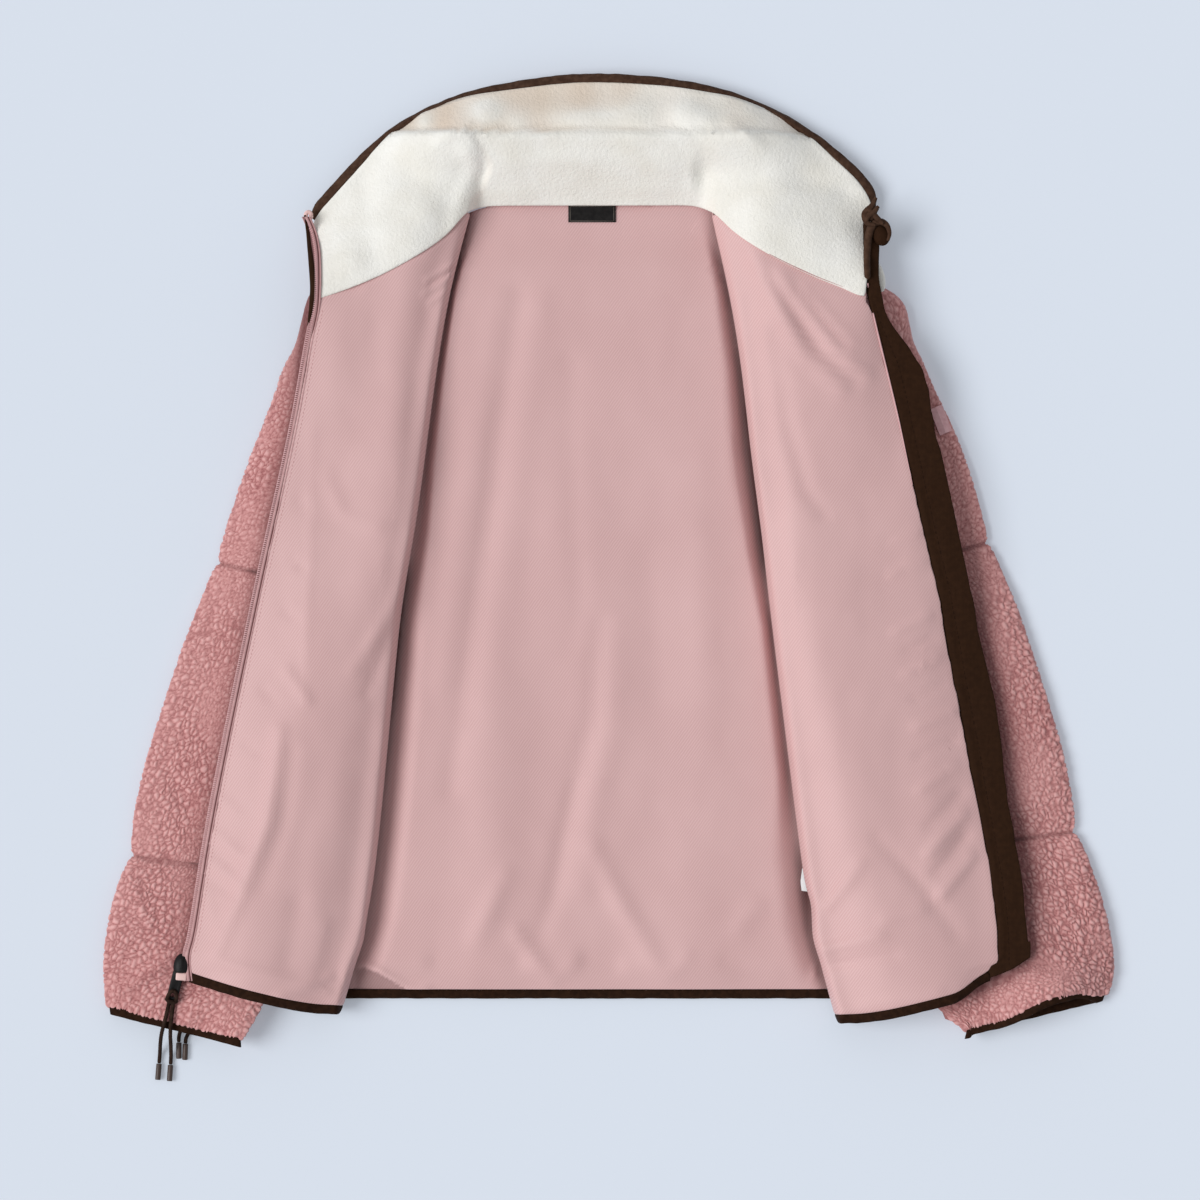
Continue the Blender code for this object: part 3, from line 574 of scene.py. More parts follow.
# where the wind flap is seen between the front and the sleeve, as y and x
flapInside = smoothRows([(24, 323), (62, 323), (112, 316), (180, 303), (240, 290.8), (320, 277), (400, 258),
                         (470, 243), (544, 225), (572, 219.6), (600, 218.2)])
flapEdge = smoothRows([(24, 349.5), (90, 344), (160, 332), (210, 326), (320, 304), (360, 295), (440, 277.3),
                       (500, 265), (520, 253.5), (544, 236.5), (568, 229.3), (600, 228.5)])
liningEdge = {-1: edgeRows(trees["front_right_lining"], -380, -180, 6, 0, 566),
              1: edgeRows(trees["front_left_lining"], 380, 180, 6, 0, 566)}

# the zip's line from the hem up to the collar's top, as y and x
zipLine = smoothRows([(16, -320), (36, -321.4), (58, -316.5), (130, -305), (200, -291.5), (330, -264),
                      (450, -237.5), (524, -224), (556, -217.8), (590, -217.5), (612, -221), (630, -228)])
tapeWide = 5.6


def pastCrease(x, y):
    # how far outside the front's fold a place is, on its own side
    side = -1 if x < 0 else 1
    return side * (x - between(creases[side], y))


def foldWander(x, y):
    # the folds' edges swell a little by the hem
    if x < 0:
        return 2.4 * exp(-((y - 47) / 13) ** 2)
    return 3.2 * exp(-((y - 76) / 13) ** 2) - 2.2 * exp(-((y - 47) / 12) ** 2)


overFold = [(0, 2.5), (200, 4), (580, 5.5), (630, 2)]        # y, how far the fold's crown leans out


def frontShift(x, y, z):
    # a front's cloth is drawn sideways to meet the zip, or the flap's seam, and leans out over its fold
    side = -1 if x < 0 else 1
    inner, outer = between(creases[side], y), between(liningEdge[side], y)
    target = between(zipLine, y) - 1.2 if side < 0 else between(flapInside, y) - 0.6
    if y > 566 or y < 24:
        target = outer
    share = (x - inner) / (outer - inner)
    past = side * (x - inner)
    over = -side * between(overFold, y) * softStep((z - 20) / 9) * exp(-(past / 9) ** 2)
    wander = foldWander(x, y) * softStep((0.12 - share) / 0.2)
    return (target - outer) * softStep((share - 0.45) / 0.5) + wander + over


# how dark the painted shade in the slot beside each fold is (which also sets how deep the slot sinks), and
# how wide, by height on the jacket
slotDark = {-1: [(-16, 0.3), (160, 0.35), (224, 0.6), (240, 0.85), (288, 1), (318, 1), (334, 0.8),
                 (356, 0.05), (544, 0.05), (560, 0.3), (612, 0.8)],
            1: [(-16, 0.5), (48, 0.65), (88, 0.95), (128, 0.45), (208, 0.2), (320, 0.15), (336, 0.4),
                (352, 0.85), (368, 1), (416, 1), (464, 0.9), (544, 0.5), (616, 0.5)]}
slotWide = {-1: [(0, 12), (80, 10), (160, 7), (240, 4.6), (340, 4), (600, 5)],
            1: [(0, 14), (60, 13), (120, 9), (200, 7), (340, 6), (600, 6)]}


def slotShade(x, y):
    # painted shade on the back's lining beside each fold, darkest in the slot under it
    side, past = (-1 if x < 0 else 1), pastCrease(x, y)
    dark, wide = between(slotDark[side], y), between(slotWide[side], y)
    if past >= 0:
        return dark
    return dark * (0.35 * exp(-(past / wide) ** 2) + 0.65 * exp(-(past / (0.42 * wide)) ** 2))


# ---- sherpa

# curls a cell apart where loose and small where packed; rise and sink of the pile; the mesh's edge lengths
sherpaSize = {"cell": 3.9, "small": 2.9, "long": 1.3, "rise": 1.7, "sink": 0.9, "fine": 1.12, "coarse": 3.4,
              "gap": 0.42, "grow": 2.7, "shoulder": 470, "up": 16, "in": 16}
sherpaFolds = table(
    "points height width",
    ([(-394, 4), (-379, 8), (-365, 14), (-353, 23), (-341, 31), (-330, 37)], 2.6, 6),
    ([(-330, -24), (-321, -14), (-312, -5), (-297, 2)], 2.6, 6),
    ([(-372, 96), (-362, 78), (-356, 60)], 1.6, 8), ([(-342, 190), (-330, 165), (-322, 148)], -1.6, 8),
    ([(356, 8), (372, 14), (392, 22), (412, 24)], 2.6, 6), ([(300, -20), (322, -16), (344, -6)], 1.6, 6),
    ([(388, 150), (376, 128), (366, 112)], -1.8, 7), ([(360, 70), (372, 58), (384, 44)], -2.0, 7),
    ([(406, 60), (396, 84), (388, 100)], 1.4, 7))
sleeveWays = {-1: Vector((-0.27, -0.963, 0)), 1: Vector((0.31, -0.951, 0))}       # down each sleeve
cuffStart = {-1: 112, 1: 122}
curlTurns = {-1: radians(48), 1: radians(-48)}
# y, how far the shoulder stands out past its solid
shoulderOut = {-1: [(480, 0), (512, 3), (528, 4), (544, 5), (560, 5)],
               1: [(470, 0), (496, 2.5), (512, 4), (528, 5), (544, 8), (560, 9)]}


def curlCrown(point, turn, cell, long):
    # how near a place is to the middle of a curl: 0 in the gap between two, 1 on its crown
    spot = Vector(((point.x * cos(turn) + point.y * sin(turn)) / long,
                   point.y * cos(turn) - point.x * sin(turn), point.z)) / cell
    spot += noise.noise_vector(spot * 0.7) * 0.4 + noise.noise_vector(spot * 2.1) * 0.14
    far, (first, second) = noise.voronoi(spot)[0][0], noise.voronoi(spot)[1][:2]
    way = second - first
    edge = abs(((first + second) / 2 - spot).dot(way)) / max(way.length, 1e-6)
    side = 1 - min(edge / sherpaSize["gap"], 1)
    return (1 - side ** 2.2) * (1.08 - 0.42 * min(far, 0.9) ** 1.5)


def pileAt(point, side, packed):
    look = sherpaSize
    small = softStep(packed + 0.9 * noise.noise(point / (34 * mm)) - 0.15)
    loose = curlCrown(point, curlTurns[side], look["cell"] * mm, look["long"]) if small < 0.98 else 0
    tight = curlCrown(point, curlTurns[side], look["small"] * mm, 1.12) if small > 0.02 else 0
    height = loose * (1 - small) + tight * small
    return height * (0.92 + 0.10 * noise.noise(point / (2.2 * mm))), 1 - 0.5 * small


# y and how much painted shadow darkens the sherpa under the flap, and under the zip; x and y of the fronts'
# hems
underFlap = [(40, 0.50), (90, 0.60), (200, 0.72), (300, 0.7), (340, 0.35), (380, 0.1), (430, 0), (560, 0)]
underZip = [(200, 0.55), (320, 0.62), (440, 0.82), (560, 0.8)]
hemLine = [(-330, 26), (-300, 17), (-260, 8), (-212, -2), (192, -22), (276, -6), (330, 14), (352, 26)]


def overhangShade(x, y):
    # the sherpa lies in shadow close to the front that covers it
    below = between(hemLine, x) - y
    if x < 0:
        gap = between(zipLine, y) - tapeWide - x
        shade = between(underZip, y) * exp(-max(gap, 0) / 6.5)
    else:
        gap = x - between(flapEdge, y)
        shade = between(underFlap, y) * exp(-(max(gap, 0) / 17) ** 1.3)
    if below > 0:
        return min(shade, 0.4 * exp(-below / 5)), max(gap, below)
    return shade, gap


def endsOf(bm, way, closed):
    # the flat ends where a panel is sewn to the next
    bm.verts.index_update()
    ends = [[vert.index for vert in face.verts] for face in bm.faces if abs(face.normal.dot(way)) > 0.75
            and toJacket(face.calc_center_median()).y > closed]
    return BVHTree.FromPolygons([vert.co.copy() for vert in bm.verts], ends) if ends else None


mouthLook = {"inner": 302, "outer": 392, "pull": 8.5, "lip": 9, "from": 84}


def mouthGape(spot):
    # the left cuff's mouth gapes along the middle of its edge
    if spot.x < 0 or spot.y > 60:
        return 0.0
    across = -spot.dot(Vector((sleeveWays[1].y, -sleeveWays[1].x, 0)))
    return softStep((across - mouthLook["inner"]) / 50) * softStep((mouthLook["outer"] - across) / 26)


def mouthPull(spot):
    # its upper lip is drawn back
    upper = softStep((spot.z - mouthLook["lip"]) / 5)
    return mouthLook["pull"] * mouthGape(spot) * upper * softStep(
        (spot.dot(sleeveWays[1]) - mouthLook["from"]) / 42)


def cuffCorner(spot):
    # the left cuff's inner corner is turned in
    share = softStep((308 - spot.x) / 26) * softStep((-2 - spot.y) / 26) * (spot.x > 0)
    return Vector((17 * share, 2 * share, 0))


def sherpaPiece(node, side, levels=2, keep=0.7, jag=0.0, flat=False):
    # a pile of curls on the side that is seen; a flat piece is hidden, and its curls appear only in its
    # colour, as painted shade and highlight
    look, way = sherpaSize, sleeveWays[side]
    bm = roundedMesh(nodeMesh(node), levels, keep)
    outside = markOutside(bm)
    ends = None if flat else endsOf(bm, way, 60)

    def seen(face):
        spot = toJacket(face.calc_center_median())
        return face[outside] and face.normal.z > -0.3 and overhangShade(spot.x, spot.y)[1] > -9

    splitLong(bm, look["coarse"] * 1.4 * mm, lambda face: face[outside])
    if not flat:
        splitLong(bm, look["fine"] * mm, seen)
    bm.normal_update()
    pile, dark = bm.verts.layers.float.new("pile"), bm.verts.layers.float.new("shade")
    moves = []
    for vert in bm.verts:
        spot, normal = toJacket(vert.co), vert.normal
        shade, gap = overhangShade(spot.x, spot.y) if not flat else (0.0, 0.0)
        # faces turned into the piece get a middling pile and, unless the piece is flat, painted shade
        if not any(face[outside] for face in vert.link_faces):
            vert[pile], vert[dark] = 0.3, 0.3 if not flat else 0.0
            continue
        seam = ends.find_nearest(vert.co)[3] / mm if ends else 99.0
        close = exp(-(seam / 2.2) ** 2)
        packed = 0.75 * exp(-max(gap, 0) / 20) + 0.8 * exp(-seam / 7) * softStep((30 - gap) / 20)
        height, loft = pileAt(vert.co, side, 0.5 if flat else packed)
        # painted shade fills the floor of the left cuff's gaping mouth
        if mouthGape(spot) > 0.4 and spot.z < 9 and normal.z > 0.2:
            vert[pile], vert[dark] = 0.0, 1.0
            continue
        vert[pile] = height * (1 - 0.25 * close)
        # painted shade in the seams' grooves, added to the painted shadow by the fronts
        vert[dark] = min(shade + 0.26 * close, 0.85)
        under = softStep((-normal.z - 0.1) / 0.5)
        curl = look["rise"] * loft * height - look["sink"]
        lift = curl * (1 - under) * (1 - 0.85 * close) - 1.3 * close
        flatWay = Vector((normal.x, normal.y, 0))
        if flat:
            vert.co += normal * lift * 0.5 * mm
            continue
        move = normal * lift
        if seam < 0.4:
            facing = normal.dot(way)
            move += way * (1.5 if facing > 0 else -1.5) * softStep((abs(facing) - 0.3) / 0.4)
        move.z += chainHeight(sherpaFolds, spot.x, spot.y) * max(normal.z, 0)
        move += flatWay * flatWay.length * look["grow"] * softStep((gap - 4) / 8) * (1 - 0.7 * exp(-seam / 6))
        if spot.y > look["shoulder"]:
            move.x += side * between(shoulderOut[side], spot.y)
            move.y += look["up"] * softStep((spot.y - 522) / 30)
            if side > 0:
                move.x -= look["in"] * softStep((spot.y - 530) / 26) * softStep((246 - spot.x) / 16)
        if jag:
            across = spot.dot(Vector((way.y, -way.x, 0)))
            tuft = noise.noise(Vector((across / 1.9, side * 7.0, 3)))
            tuft += 0.6 * noise.noise(Vector((across / 5, 1, 8)))
            end = softStep((spot.dot(way) - cuffStart[side]) / 8)
            ahead = softStep((normal.dot(way) + 0.1) / 0.6) * end * softStep((spot.z - 5) / 4)
            low = mouthGape(spot) * softStep((17 - spot.z) / 6)
            jut = jag * (0.75 + 1.25 * tuft) * (1 - low) - 3.0 * low
            move += (way * jut + Vector((0, 0, 1.6))) * ahead
            move += cuffCorner(spot) - way * mouthPull(spot)
        moves.append((vert, move * mm))
    for vert, move in moves:
        vert.co += move
        vert.co.z = max(vert.co.z, 0.05 * mm)
    return bm


cuffJag = 3.4          # how far the tufts hang past the cuff's seam
for name, node, side, jag in (("sleeveRightUpper", "sleeve_right_upper", -1, 0),
                              ("sleeveRightMiddle", "sleeve_right_middle", -1, 0),
                              ("sleeveRightLower", "sleeve_right_lower", -1, cuffJag),
                              ("sleeveLeftUpper", "sleeve_left_upper", 1, 0),
                              ("sleeveLeftMiddle", "sleeve_left_middle", 1, 0),
                              ("sleeveLeftLower", "sleeve_left_lower", 1, cuffJag)):
    finished(name, sherpaPiece(node, side, jag=jag), pinkSherpa, "jacket", node)
print("sleeves made")


# ---- linings and the fronts' folds

# y, and how much fuller a front's fold is; its crest further out; how wide the back's valley by it
frontFull = {-1: [(-16, 2.0), (40, 3.0), (300, 4), (360, 6.5), (560, 6), (630, 0)],
             1: [(-16, 2.0), (40, 3.0), (420, 3), (560, 2), (630, 0)]}
frontCrest = {-1: [(0, 5), (440, 7), (520, 2), (580, 0)], 1: [(0, 9), (340, 9), (520, 3), (580, 0)]}
valley = {-1: [(0, 24), (200, 24), (320, 18), (430, 8), (640, 5)],
          1: [(0, 24), (110, 22), (180, 12), (300, 9), (360, 15), (420, 18), (560, 12), (640, 8)]}
backDome = [(0, 6), (60, 9), (350, 12), (560, 12), (630, 3)]
foldGain = 1.35
frontBroad = table(
    "points height width",
    ([(-214, 300), (-232, 220), (-262, 110), (-284, 30)], 1.8, 20),
    ([(-170, 570), (-174, 520), (-178, 470)], -3.0, 20),
    ([(186, 540), (200, 420), (214, 300), (228, 180), (242, 50)], 1.2, 30))
frontChains = table(
    "points height width",
    ([(-220, 456), (-228, 293), (-227, 240)], 0.5, 3.6), ([(-210, 418), (-198, 388), (-171, 379)], 1.0, 6),
    ([(-145, 372), (-152, 331), (-171, 293), (-190, 264)], 1.5, 6),
    ([(-154, 322), (-166, 280), (-180, 246)], -1.0, 5),
    ([(-248, 216), (-258, 144), (-277, 91), (-296, 40)], 2.6, 5.5),
    ([(-238, 200), (-246, 140), (-262, 90)], -1.4, 6),
    ([(131, 590), (150, 550), (170, 514), (200, 488)], 2.2, 6),
    ([(150, 578), (194, 523), (224, 498)], 2.0, 4.5),
    ([(170, 564), (213, 523)], 1.5, 3.4), ([(141, 578), (182, 520), (212, 494)], -1.8, 3.8),
    ([(162, 568), (203, 522)], -1.4, 3), ([(146, 533), (155, 466), (170, 408), (184, 389)], -1.5, 6.5),
    ([(120, 560), (128, 470), (139, 352), (152, 262)], 0.8, 5),
    ([(213, 110), (200, 92), (189, 77)], 2.0, 5.5),
    ([(227, 130), (266, 91), (290, 53)], -1.5, 6), ([(-170, 90), (-182, 50), (-196, 20)], 1.2, 6))
frontFolds = table(
    "startX startY endX endY height width",
    (-243, 264, -226, 240, 1.2, 4), (-210, 19, -248, 5, 1.4, 4.4), (-234, 80, -242, 32, -1.4, 9),
    (-214, 60, -224, 20, 1.1, 7), (-296, 162, -282, 150, 0.9, 3), (-299, 134, -278, 116, 1.0, 3.4),
    (-304, 112, -280, 94, 0.9, 3), (-307, 88, -296, 56, 0.9, 3.4), (-302, 124, -284, 108, -0.8, 3),
    (-305, 100, -284, 84, -0.8, 3), (-233, 400, -225, 391, -0.8, 3), (-240, 352, -231, 345, -0.8, 3),
    (-247, 312, -238, 305, -0.8, 3), (-262, 250, -253, 240, -0.8, 3.4), (-275, 205, -263, 196, -0.7, 3),
    (-110, 590, -132, 575, 1.1, 2.0), (-110, 581, -134, 564, 0.9, 2.2), (-112, 572, -130, 557, 0.8, 2.0),
    (-112, 585, -130, 571, -0.8, 1.8), (-300, 34, -212, 8, 1.0, 4),
    (266, 350, 240, 341, 1.1, 3.4), (271, 307, 244, 295, 1.1, 3.4), (280, 274, 252, 261, 1.2, 3.4),
    (290, 230, 260, 219, 1.2, 3.6), (294, 187, 262, 169, 1.2, 3.6), (262, 372, 244, 366, 0.8, 3),
    (276, 290, 254, 280, -0.9, 3), (284, 252, 258, 242, -0.9, 3), (292, 208, 262, 196, -1.0, 3.4),
    (299, 149, 268, 118, 2.0, 4), (304, 115, 278, 84, 2.0, 4), (301, 132, 274, 102, -1.8, 4),
    (298, 166, 270, 140, -1.2, 4), (184, 41, 228, 53, 1.8, 5.4), (190, 28, 240, 38, -1.3, 4.4),
    (198, -8, 276, 8, 1.0, 4), (232, 66, 262, 74, 1.3, 5))
backChains = table(
    "points height width",
    ([(-58, 566), (-70, 490), (-80, 408), (-90, 336), (-102, 250), (-114, 168)], -1.5, 9),
    ([(-76, 560), (-88, 490), (-99, 408), (-110, 336), (-120, 250)], 0.8, 10),
    ([(-40, 560), (-50, 480), (-60, 400), (-70, 330), (-82, 250), (-92, 170)], 0.8, 11),
    ([(-18, 509), (-13, 360), (-10, 312), (-18, 283)], -1.0, 9),
    ([(5, 300), (-1, 221), (-17, 160), (-32, 80), (-42, 53)], -1.5, 8),
    ([(20, 300), (15, 221), (2, 160), (-8, 90)], 1.2, 10), ([(2, 120), (26, 72), (56, 22)], 2.2, 9),
    ([(-70, 100), (-82, 72), (-92, 50)], 2.0, 9), ([(86, 420), (90, 300), (92, 200)], 0.8, 15))
backFolds = table(
    "startX startY endX endY height width",
    (-61, 53, -32, 14, 1.6, 6), (-2, 31, 16, 28, -1.9, 10), (-123, 30, -62, 28, -1.4, 9),
    (131, 74, 118, 58, 1.4, 9),
    (46, 352, 54, 240, -0.7, 13), (108, 30, 134, 18, -1.2, 8), (60, 14, 76, 34, 0.8, 6),
    (-30, 12, -14, 30, 0.8, 6),
    (140, 600, 90, 618, 0.6, 6), (176, 12, 181, 28, 1.0, 3))
# the tuck by the left fold, as x and y
tuckLine = [(-190, 26), (-182, 25.5), (-172, 22), (-160, 15), (-150, 9), (-140, 6.6), (-128, 7.2)]


def hemTuck(x, y):
    # the back's lining bags over its hem beside the fold, with painted shade below its edge
    if not -196 < x < -122:
        return 0.0, 0.0
    above = y - between(tuckLine, x)
    share = softStep((x + 196) / 8) * softStep((-122 - x) / 14)
    height = 2.2 * exp(-((above - 1.5) / 4) ** 2) - 1.6 * softStep(-above / 1.5)
    return share * height, share * 0.42 * softStep(-above / 1.2)


def frontCorner(x, y):
    # the lower corner by the zip is rounded
    share = softStep((x - 286) / 36) * softStep((34 - y) / 18)
    return Vector((-5 * share, 8 * share, 0))


def frontLift(x, y, z):
    # the fronts' upper cloth: full at the fold, crested, with its folds and a slow waviness
    past, side = pastCrease(x, y), (-1 if x < 0 else 1)
    rise = softStep((z - 11) / 8) * between(frontFull[side], y) * exp(-((past - 4) / 8) ** 2)
    upper = softStep((z - 15) / 6)
    if upper:
        wave = noise.noise(Vector((x / 44, y / 64, 0))) + 0.35 * noise.noise(Vector((x / 14, y / 22, 5)))
        folds = foldHeight(frontFolds, x, y) + chainHeight(frontChains, x, y)
        crest = between(frontCrest[side], y) * softStep((past + 1) / 6) * softStep((118 - past) / 100)
        rise += upper * (foldGain * folds + chainHeight(frontBroad, x, y) + 0.9 * wave + crest)
    return rise


def backLift(x, y):
    # the back's cloth: a low dome that drops into the slots beside the folds
    past, side = pastCrease(x, y), (-1 if x < 0 else 1)
    slot = -2.6 * between(slotDark[side], y) * exp(-(past / (5 if past < 0 else 12)) ** 2)
    wave = noise.noise(Vector((x / 50, y / 80, 9))) + 0.3 * noise.noise(Vector((x / 16, y / 26, 2)))
    flat = softStep((628 - y) / 46) * softStep((y - 3) / 26)
    dome = between(backDome, y) * softStep((-past - 0.5) / between(valley[side], y))
    folds = foldHeight(backFolds, x, y) + chainHeight(backChains, x, y)
    clear = softStep(-past / 8)
    return slot + flat * (dome + foldGain * folds * clear) + 0.9 * wave * clear + hemTuck(x, y)[0]


# where the collar's corner presses the linings flat, and how far round it
easedSpot, easedWide = Vector((-199, 562, 0)), 17


def liningPiece(name, node, lift, shadeRule, finish=pinkTwill, fine=4.6, near=2.6,
                closeTo=None, reach=0.5, shift=None):
    bm = roundedMesh(nodeMesh(node), 2, 0.9)
    splitLong(bm, 1.4 * fine * mm)
    if closeTo:
        splitLong(bm, 1.4 * near * mm, lambda face: closeTo(toJacket(face.calc_center_median())))
    bm.normal_update()
    shade = bm.verts.layers.float.new("shade")
    for vert in bm.verts:
        spot = toJacket(vert.co)
        vert[shade] = shadeRule(spot)
        sideways = Vector((vert.normal.x, vert.normal.y, 0))
        vert.co += sideways * sideways.length * reach * mm
        if shift:
            vert.co += shift(spot, vert.normal) * mm
        vert.co.z += lift(spot) * mm
    eased = [vert for vert in bm.verts if vert.normal.z > 0.2
             and (toJacket(vert.co) - easedSpot).xy.length < easedWide]
    for turn in range(8):
        bmesh.ops.smooth_vert(bm, verts=eased, factor=0.5, use_axis_x=True, use_axis_y=True, use_axis_z=True)
    return finished(name, bm, finish, "jacket", node)


def byCrease(spot):
    return -16 < pastCrease(spot.x, spot.y) < 24


def frontShade(spot):
    # the fold's lower half lies in the slot's shadow
    side = -1 if spot.x < 0 else 1
    return between(slotDark[side], spot.y) * softStep((15.5 - spot.z) / 7)


def underCollar(spot, normal):
    # the linings' upper edges run on under the collar's seam
    if spot.y < 556:
        return Vector((0, 0, 0))
    near = trees["collar_lining"].find_nearest(place(*spot))[3] / mm
    corner = 12 * softStep((spot.y - 616) / 9) * softStep((spot.x - 46) / 16) * (spot.z < 16)
    share = softStep((4.5 - near) / 3) * (softStep((normal.y - 0.1) / 0.3) if spot.x < 0 else 1)
    return Vector((0, 8, -2.6)) * share + Vector((0, corner, 0))


def backFine(spot):
    return byCrease(spot) or (-194 < spot.x < -126 and 0 < spot.y < 34)


liningPiece("backLining", "back_lining", lambda spot: backLift(spot.x, spot.y),
            lambda spot: max(slotShade(spot.x, spot.y), hemTuck(spot.x, spot.y)[1]), closeTo=backFine,
            shift=underCollar)
for name, node in (("frontRightLining", "front_right_lining"), ("frontLeftLining", "front_left_lining")):
    liningPiece(name, node, lambda spot: frontLift(*spot), frontShade, closeTo=byCrease,
                shift=lambda spot, normal: (Vector((frontShift(*spot), 0, 0)) + underCollar(spot, normal)
                                            + frontCorner(spot.x, spot.y)))
print("linings made")

for name, node, side in (("frontRightOuter", "front_right_outer", -1),
                         ("frontLeftOuter", "front_left_outer", 1)):
    bm = sherpaPiece(node, side, 1, 0.9, flat=True)
    for vert in bm.verts:
        spot = toJacket(vert.co)
        vert.co += (Vector((frontShift(*spot), 0, 0)) + frontCorner(spot.x, spot.y)) * mm
        if spot.z > 14:
            vert.co.z += (frontLift(*spot) - 0.9) * mm
    finished(name, bm, pinkSherpa, "jacket", node)
bm = sherpaPiece("back_outer", 1, 1, 1.0, flat=True)
for vert in bm.verts:
    spot = toJacket(vert.co)
    if spot.z > 3:
        vert.co.z -= (1.9 + 2.2 * exp(-(pastCrease(spot.x, spot.y) / 9) ** 2)) * mm
finished("backOuter", bm, pinkSherpa, "jacket", "back_outer")
print("outers made")


# ---- collar

# y and height of the collar's inside behind the neck
neckRise = smoothRows([(630, 8), (640, 13), (652, 20.5), (668, 30), (684, 37), (693, 39), (700, 39)], 60)
bm = roundedMesh(nodeMesh("collar_lining"), 2, 0.9)
trees["collar_lining"] = BVHTree.FromBMesh(bm)
bm.free()
collarMounds = table(
    "middleX middleY halfWide halfTall height",
    (-134, 702, 7, 10, 2.5), (-84, 710, 14, 12, 4), (-60, 700, 10, 10, 2), (0, 703, 34, 9, 3.5),
    (36, 708, 16, 12, 2.5), (78, 706, 14, 12, 4), (92, 700, 8, 9, 2), (126, 712, 10, 7, 1.5))
collarHollows = table(
    "middleX middleY halfWide halfTall height",
    (-146, 662, 14, 12, -2.2), (-180, 640, 9, 26, -1.8), (170, 656, 20, 9, -2.6), (202, 646, 10, 6, -2.0),
    (74, 662, 9, 14, -1.4), (-130, 628, 12, 9, 1.4), (150, 610, 16, 9, -1.4), (-176, 600, 10, 16, -1.6),
    (-30, 672, 30, 6, 1.0), (40, 648, 30, 5, 0.9), (-60, 644, 18, 5, 0.9), (-190, 590, 14, 8, 1.5))
# each lapel's edge as y and x, and the collar's ridge as x and y
leftLapel = smoothRows([(626, -100), (637, -97), (652, -91), (666, -86), (676, -89), (690, -98)], 40)
rightLapel = smoothRows([(626, 98), (637, 94), (652, 89), (668, 87), (690, 92)], 40)
ridgeLine = [(-175, 688), (-158, 693), (-60, 692), (140, 692.5), (166, 690), (186, 686)]


def spread(mounds, x, y):
    rise = 0.0
    for mound in mounds:
        acrossIt = (x - mound["middleX"]) / mound["halfWide"]
        alongIt = (y - mound["middleY"]) / mound["halfTall"]
        rise += mound["height"] * exp(-acrossIt ** 2 - alongIt ** 2)
    return rise


def collarLift(spot):
    # the collar stands from the neck up to its ridge, and falls away behind it
    x, y = spot.x, spot.y
    behind = y - between(ridgeLine, x)
    inside = softStep((x - between(leftLapel, y) + 2) / 9) * softStep((between(rightLapel, y) - x + 6) / 16)
    top = topOf(trees["collar_lining"], x, min(max(y, 638.5), 690), 20)
    rise = 0.0
    if y < 700:
        rise += inside * (between(neckRise, y) - top) * softStep((699 - y) / 10)
        rise += 2.6 * exp(-((x - between(leftLapel, y) + 8) / 8) ** 2) * softStep((688 - y) / 14)
    if behind > 0:
        rise -= 6.5 * softStep(behind / 3.5) * softStep((34 - behind) / 30)
    else:
        rise += 1.6 * exp(-(behind / 7) ** 2)
    rise += spread(collarMounds, x, y) * softStep((behind - 1) / 4) + spread(collarHollows, x, y)
    return rise + 0.8 * noise.noise(Vector((x / 26, y / 20, 3)))


def collarShade(spot):
    # painted shade: warm beige behind the ridge, less on the mounds, and a faint painted shadow along the
    # left lapel's edge
    behind = spot.y - between(ridgeLine, spot.x)
    if behind > 0:
        white = min(1.0, spread(collarMounds, spot.x, spot.y) / 2.6)
        behindShade = 0.7 - 0.5 * softStep((spot.x + 10) / 80)
        behindShade += 0.2 * noise.noise(Vector((spot.x / 18, 4, 1)))
        return softStep(behind / 3) * (1 - 0.85 * white) * behindShade
    side = spot.x - between(leftLapel, spot.y)
    along = softStep((spot.y - 632) / 10) * softStep((688 - spot.y) / 10)
    return 0.16 * exp(-((side - 4) / 3.2) ** 2) * along * (spot.x < 0)


def collarDraw(spot, normal):
    # the collar's ends are drawn in to the zip and the binding
    rim = softStep((566 - spot.y) / -6) * softStep((636 - spot.y) / 20)
    if spot.x < -196:
        return Vector((softStep((-196 - spot.x) / 22) * 3.0 * rim, 0, 0))
    if spot.x > 196:
        return Vector((-softStep((spot.x - 196) / 22) * 4.0 * softStep((640 - spot.y) / 20), 0, 0))
    return Vector((0, 0, 0))


liningPiece("collarLining", "collar_lining", collarLift, collarShade, creamPlush, 3.0, 1.7,
            lambda spot: abs(spot.x - between(leftLapel, spot.y)) < 16 and spot.y < 692, reach=1.7,
            shift=collarDraw)
bm = sherpaPiece("collar_outer", 1, 2, 0.9, flat=True)
for vert in bm.verts:
    spot = toJacket(vert.co)
    vert.co += (collarDraw(spot, vert.normal) + Vector((0, 0, collarLift(spot) - 1.0))) * mm
    vert.co.z = max(vert.co.z, 0.1 * mm)
finished("collarOuter", bm, pinkSherpa, "jacket", "collar_outer")
print("collar made")


# ---- bindings, tapes and flap

def stripPiece(name, node, finish, keep=0.55, ripple=0.0, fine=6, shift=None, pitch=9):
    bm = roundedMesh(nodeMesh(node), 2, keep)
    splitLong(bm, fine * mm)
    bm.normal_update()
    for vert in bm.verts:
        spot = toJacket(vert.co)
        vert.co += vert.normal * noise.noise(vert.co / (pitch * mm)) * ripple * mm
        if shift:
            vert.co += shift(spot) * mm
    return finished(name, bm, finish, "jacket", node)


def bindingDraw(spot):
    # both ends of the collar's binding turn in
    if spot.x < 0:
        return Vector((6.5 * softStep((642 - spot.y) / 20), 0, 0))
    return Vector((-6.5 * softStep((650 - spot.y) / 26), 1.0 * softStep((640 - spot.y) / 20), 0))


def hemDraw(spot):
    # a front's hem binding follows its lining
    return Vector((frontShift(*spot), 0, frontLift(*spot))) + frontCorner(spot.x, spot.y)


flapSeam = 0.36        # how far over the flap its seam runs


